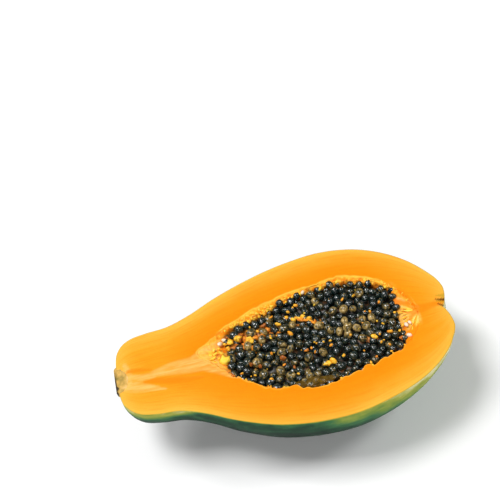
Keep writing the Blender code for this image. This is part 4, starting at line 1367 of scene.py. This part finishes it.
UNRIPE = np.array([  # x, y and half-length, mm
    (-40.8, 10.8, 2.2), (-37.6, 13.4, 1.9), (83.4, -7.4, 2.0), (85.8, -6.4, 1.7), (83.2, -15.8, 2.0),
    (21.5, 37.3, 1.6)])
unripe_z = FACE - np.array([1.7, 2.0, 1.9, 1.5, 1.9, 1.8])
unripe_at = np.column_stack([UNRIPE[:, :2], unripe_z])
unripe_sizes = UNRIPE[:, 2:] * np.array([0.7, 0.7, 1.0])

white, tree = new_material("papaya_seed_unripe")
place = node(tree, "TexCoord").outputs["Object"]
creamy = node(tree, "TexNoise", {"Vector": place, "Scale": 1 / (CREAM_PATCH * MM), "Detail": 3.0})
skin = node(tree, "ValToRGB", {"Fac": creamy}, stops=[
    (0.35, "#eecb98"), (0.5, "#f6dfc2"), (0.65, "#fdf0de")])
bump = node(tree, "Bump", {"Height": creamy, "Strength": 0.4, "Distance": 0.3 * MM})
shader = node(tree, "BsdfPrincipled", {
    "Base Color": skin, "Roughness": 0.3, "IOR": 1.4, "Coat Weight": 0.5, "Coat Roughness": 0.1,
    "Normal": bump})
node(tree, "OutputMaterial", {"Surface": shader})

turns = random_turns(len(unripe_at), draw)
unripe, _ = joined_balls("unripe_seeds", unripe_at, unripe_sizes, white, 0.12, 2.0, turns)
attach(unripe, "root")

# %% [markdown]
# ## Juice by the near rim
#
# A little juice and jelly has set against the near rim, olive and clear enough to show the seeds in it. A
# glass-like material would keep the light out of it in a short render, so it is a surface that lets a little
# over half of the light straight through. Three flat balls that overlap give the pool its uneven outline.

# %% The form of the pool
JUICE = np.array([  # x, y and the three half-axes, mm
    (7.5, -33.8, 6.0, 2.8, 1.5), (15.5, -34.2, 8.0, 4.2, 1.7), (24.0, -34.0, 5.5, 2.6, 1.4)])
JUICE_SINK = 2.8  # mm under the face

juice_points, juice_quads, juice_caps = unit_ball(32, 16)
juice_places = np.column_stack([JUICE[:, :2], np.full(len(JUICE), FACE - JUICE_SINK)])
pools = juice_places[:, None] + juice_points[None] * JUICE[:, None, 2:]
pools[..., 2] = np.minimum(pools[..., 2] + 0.2 * value_noise(pools, 2.5, 18), FACE - 0.1)
step = (np.arange(len(JUICE)) * len(juice_points))[:, None, None]
juice_faces = (juice_quads + step).reshape(-1, 4).tolist() + (juice_caps + step).reshape(-1, 3).tolist()
print("top of the juice, mm under the face:", round(float(FACE - pools[..., 2].max()), 1))

# %% Material and piece of the juice
CLOUD = 3.0  # mm across the cloudier patches

gel, tree = new_material("papaya_juice_set_clear")
place = node(tree, "TexCoord").outputs["Object"]
clouded = node(tree, "TexNoise", {"Vector": place, "Scale": 1 / (CLOUD * MM), "Detail": 3.0})
olive_gold = node(tree, "ValToRGB", {"Fac": clouded}, stops=[
    (0.35, "#5a4414"), (0.5, "#6e5218"), (0.65, "#8a6a20")])
bump = node(tree, "Bump", {"Height": clouded, "Strength": 0.4, "Distance": 0.5 * MM})
shader = node(tree, "BsdfPrincipled", {
    "Base Color": olive_gold, "Roughness": 0.15, "IOR": 1.35, "Alpha": 0.45, "Normal": bump})
node(tree, "OutputMaterial", {"Surface": shader})
juice = add_mesh("juice_by_the_rim", pools.reshape(-1, 3), juice_faces, gel)
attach(juice, "root")

# %% [markdown]
# ## Floor and light
#
# The fruit stands on a plain pale floor. A dim sky fills the shadows. The key light, almost overhead and a
# little to the left, gives each wet seed its small highlight on the upper left. Three weaker soft boxes,
# behind, to the right and in front, balance it and light the rind.

# %% The floor
FLOOR_HALF = 8.0  # m, far beyond the picture's edges

floor_material, tree = new_material("studio_floor_pale")
shader = node(tree, "BsdfPrincipled", {
    "Base Color": "#fafafa", "Roughness": 0.9, "Specular IOR Level": 0.1})
node(tree, "OutputMaterial", {"Surface": shader})
floor_corners = [(FLOOR_HALF * x, FLOOR_HALF * y, 0) for x, y in ((-1, -1), (1, -1), (1, 1), (-1, 1))]
floor_mesh = bpy.data.meshes.new("floor")
floor_mesh.from_pydata(floor_corners, [], [(0, 1, 2, 3)])
floor_mesh.materials.append(floor_material)
floor = bpy.data.objects.new("floor", floor_mesh)
bpy.context.scene.collection.objects.link(floor)

# %% Sky and lamps
sky = bpy.data.worlds.new("studio")
sky.use_nodes = True
sky.node_tree.nodes["Background"].inputs["Color"].default_value = (1.0, 1.0, 1.0, 1.0)
sky.node_tree.nodes["Background"].inputs["Strength"].default_value = 0.16
bpy.context.scene.world = sky
bpy.context.scene.view_settings.view_transform = "Standard"


def soft_box(name, place, size, power):
    """A square area light at a place in metres, turned to the fruit."""
    lamp = bpy.data.lights.new(name, "AREA")
    lamp.size = size
    lamp.energy = power
    made = bpy.data.objects.new(name, lamp)
    made.location = place
    made.rotation_euler = (AIM - Vector(place)).to_track_quat("-Z", "Y").to_euler()
    bpy.context.scene.collection.objects.link(made)


soft_box("key_light", (-0.75, 0.15, 2.2), 0.8, 36.0)
soft_box("back_light", (-1.3, 0.9, 1.5), 0.5, 8.5)
soft_box("side_light", (1.5, -0.1, 1.7), 0.5, 12.5)
soft_box("front_light", (-0.2, -1.7, 1.5), 0.6, 12.0)
print("lamps", len(bpy.data.lights), "of together", sum(lamp.energy for lamp in bpy.data.lights), "W")
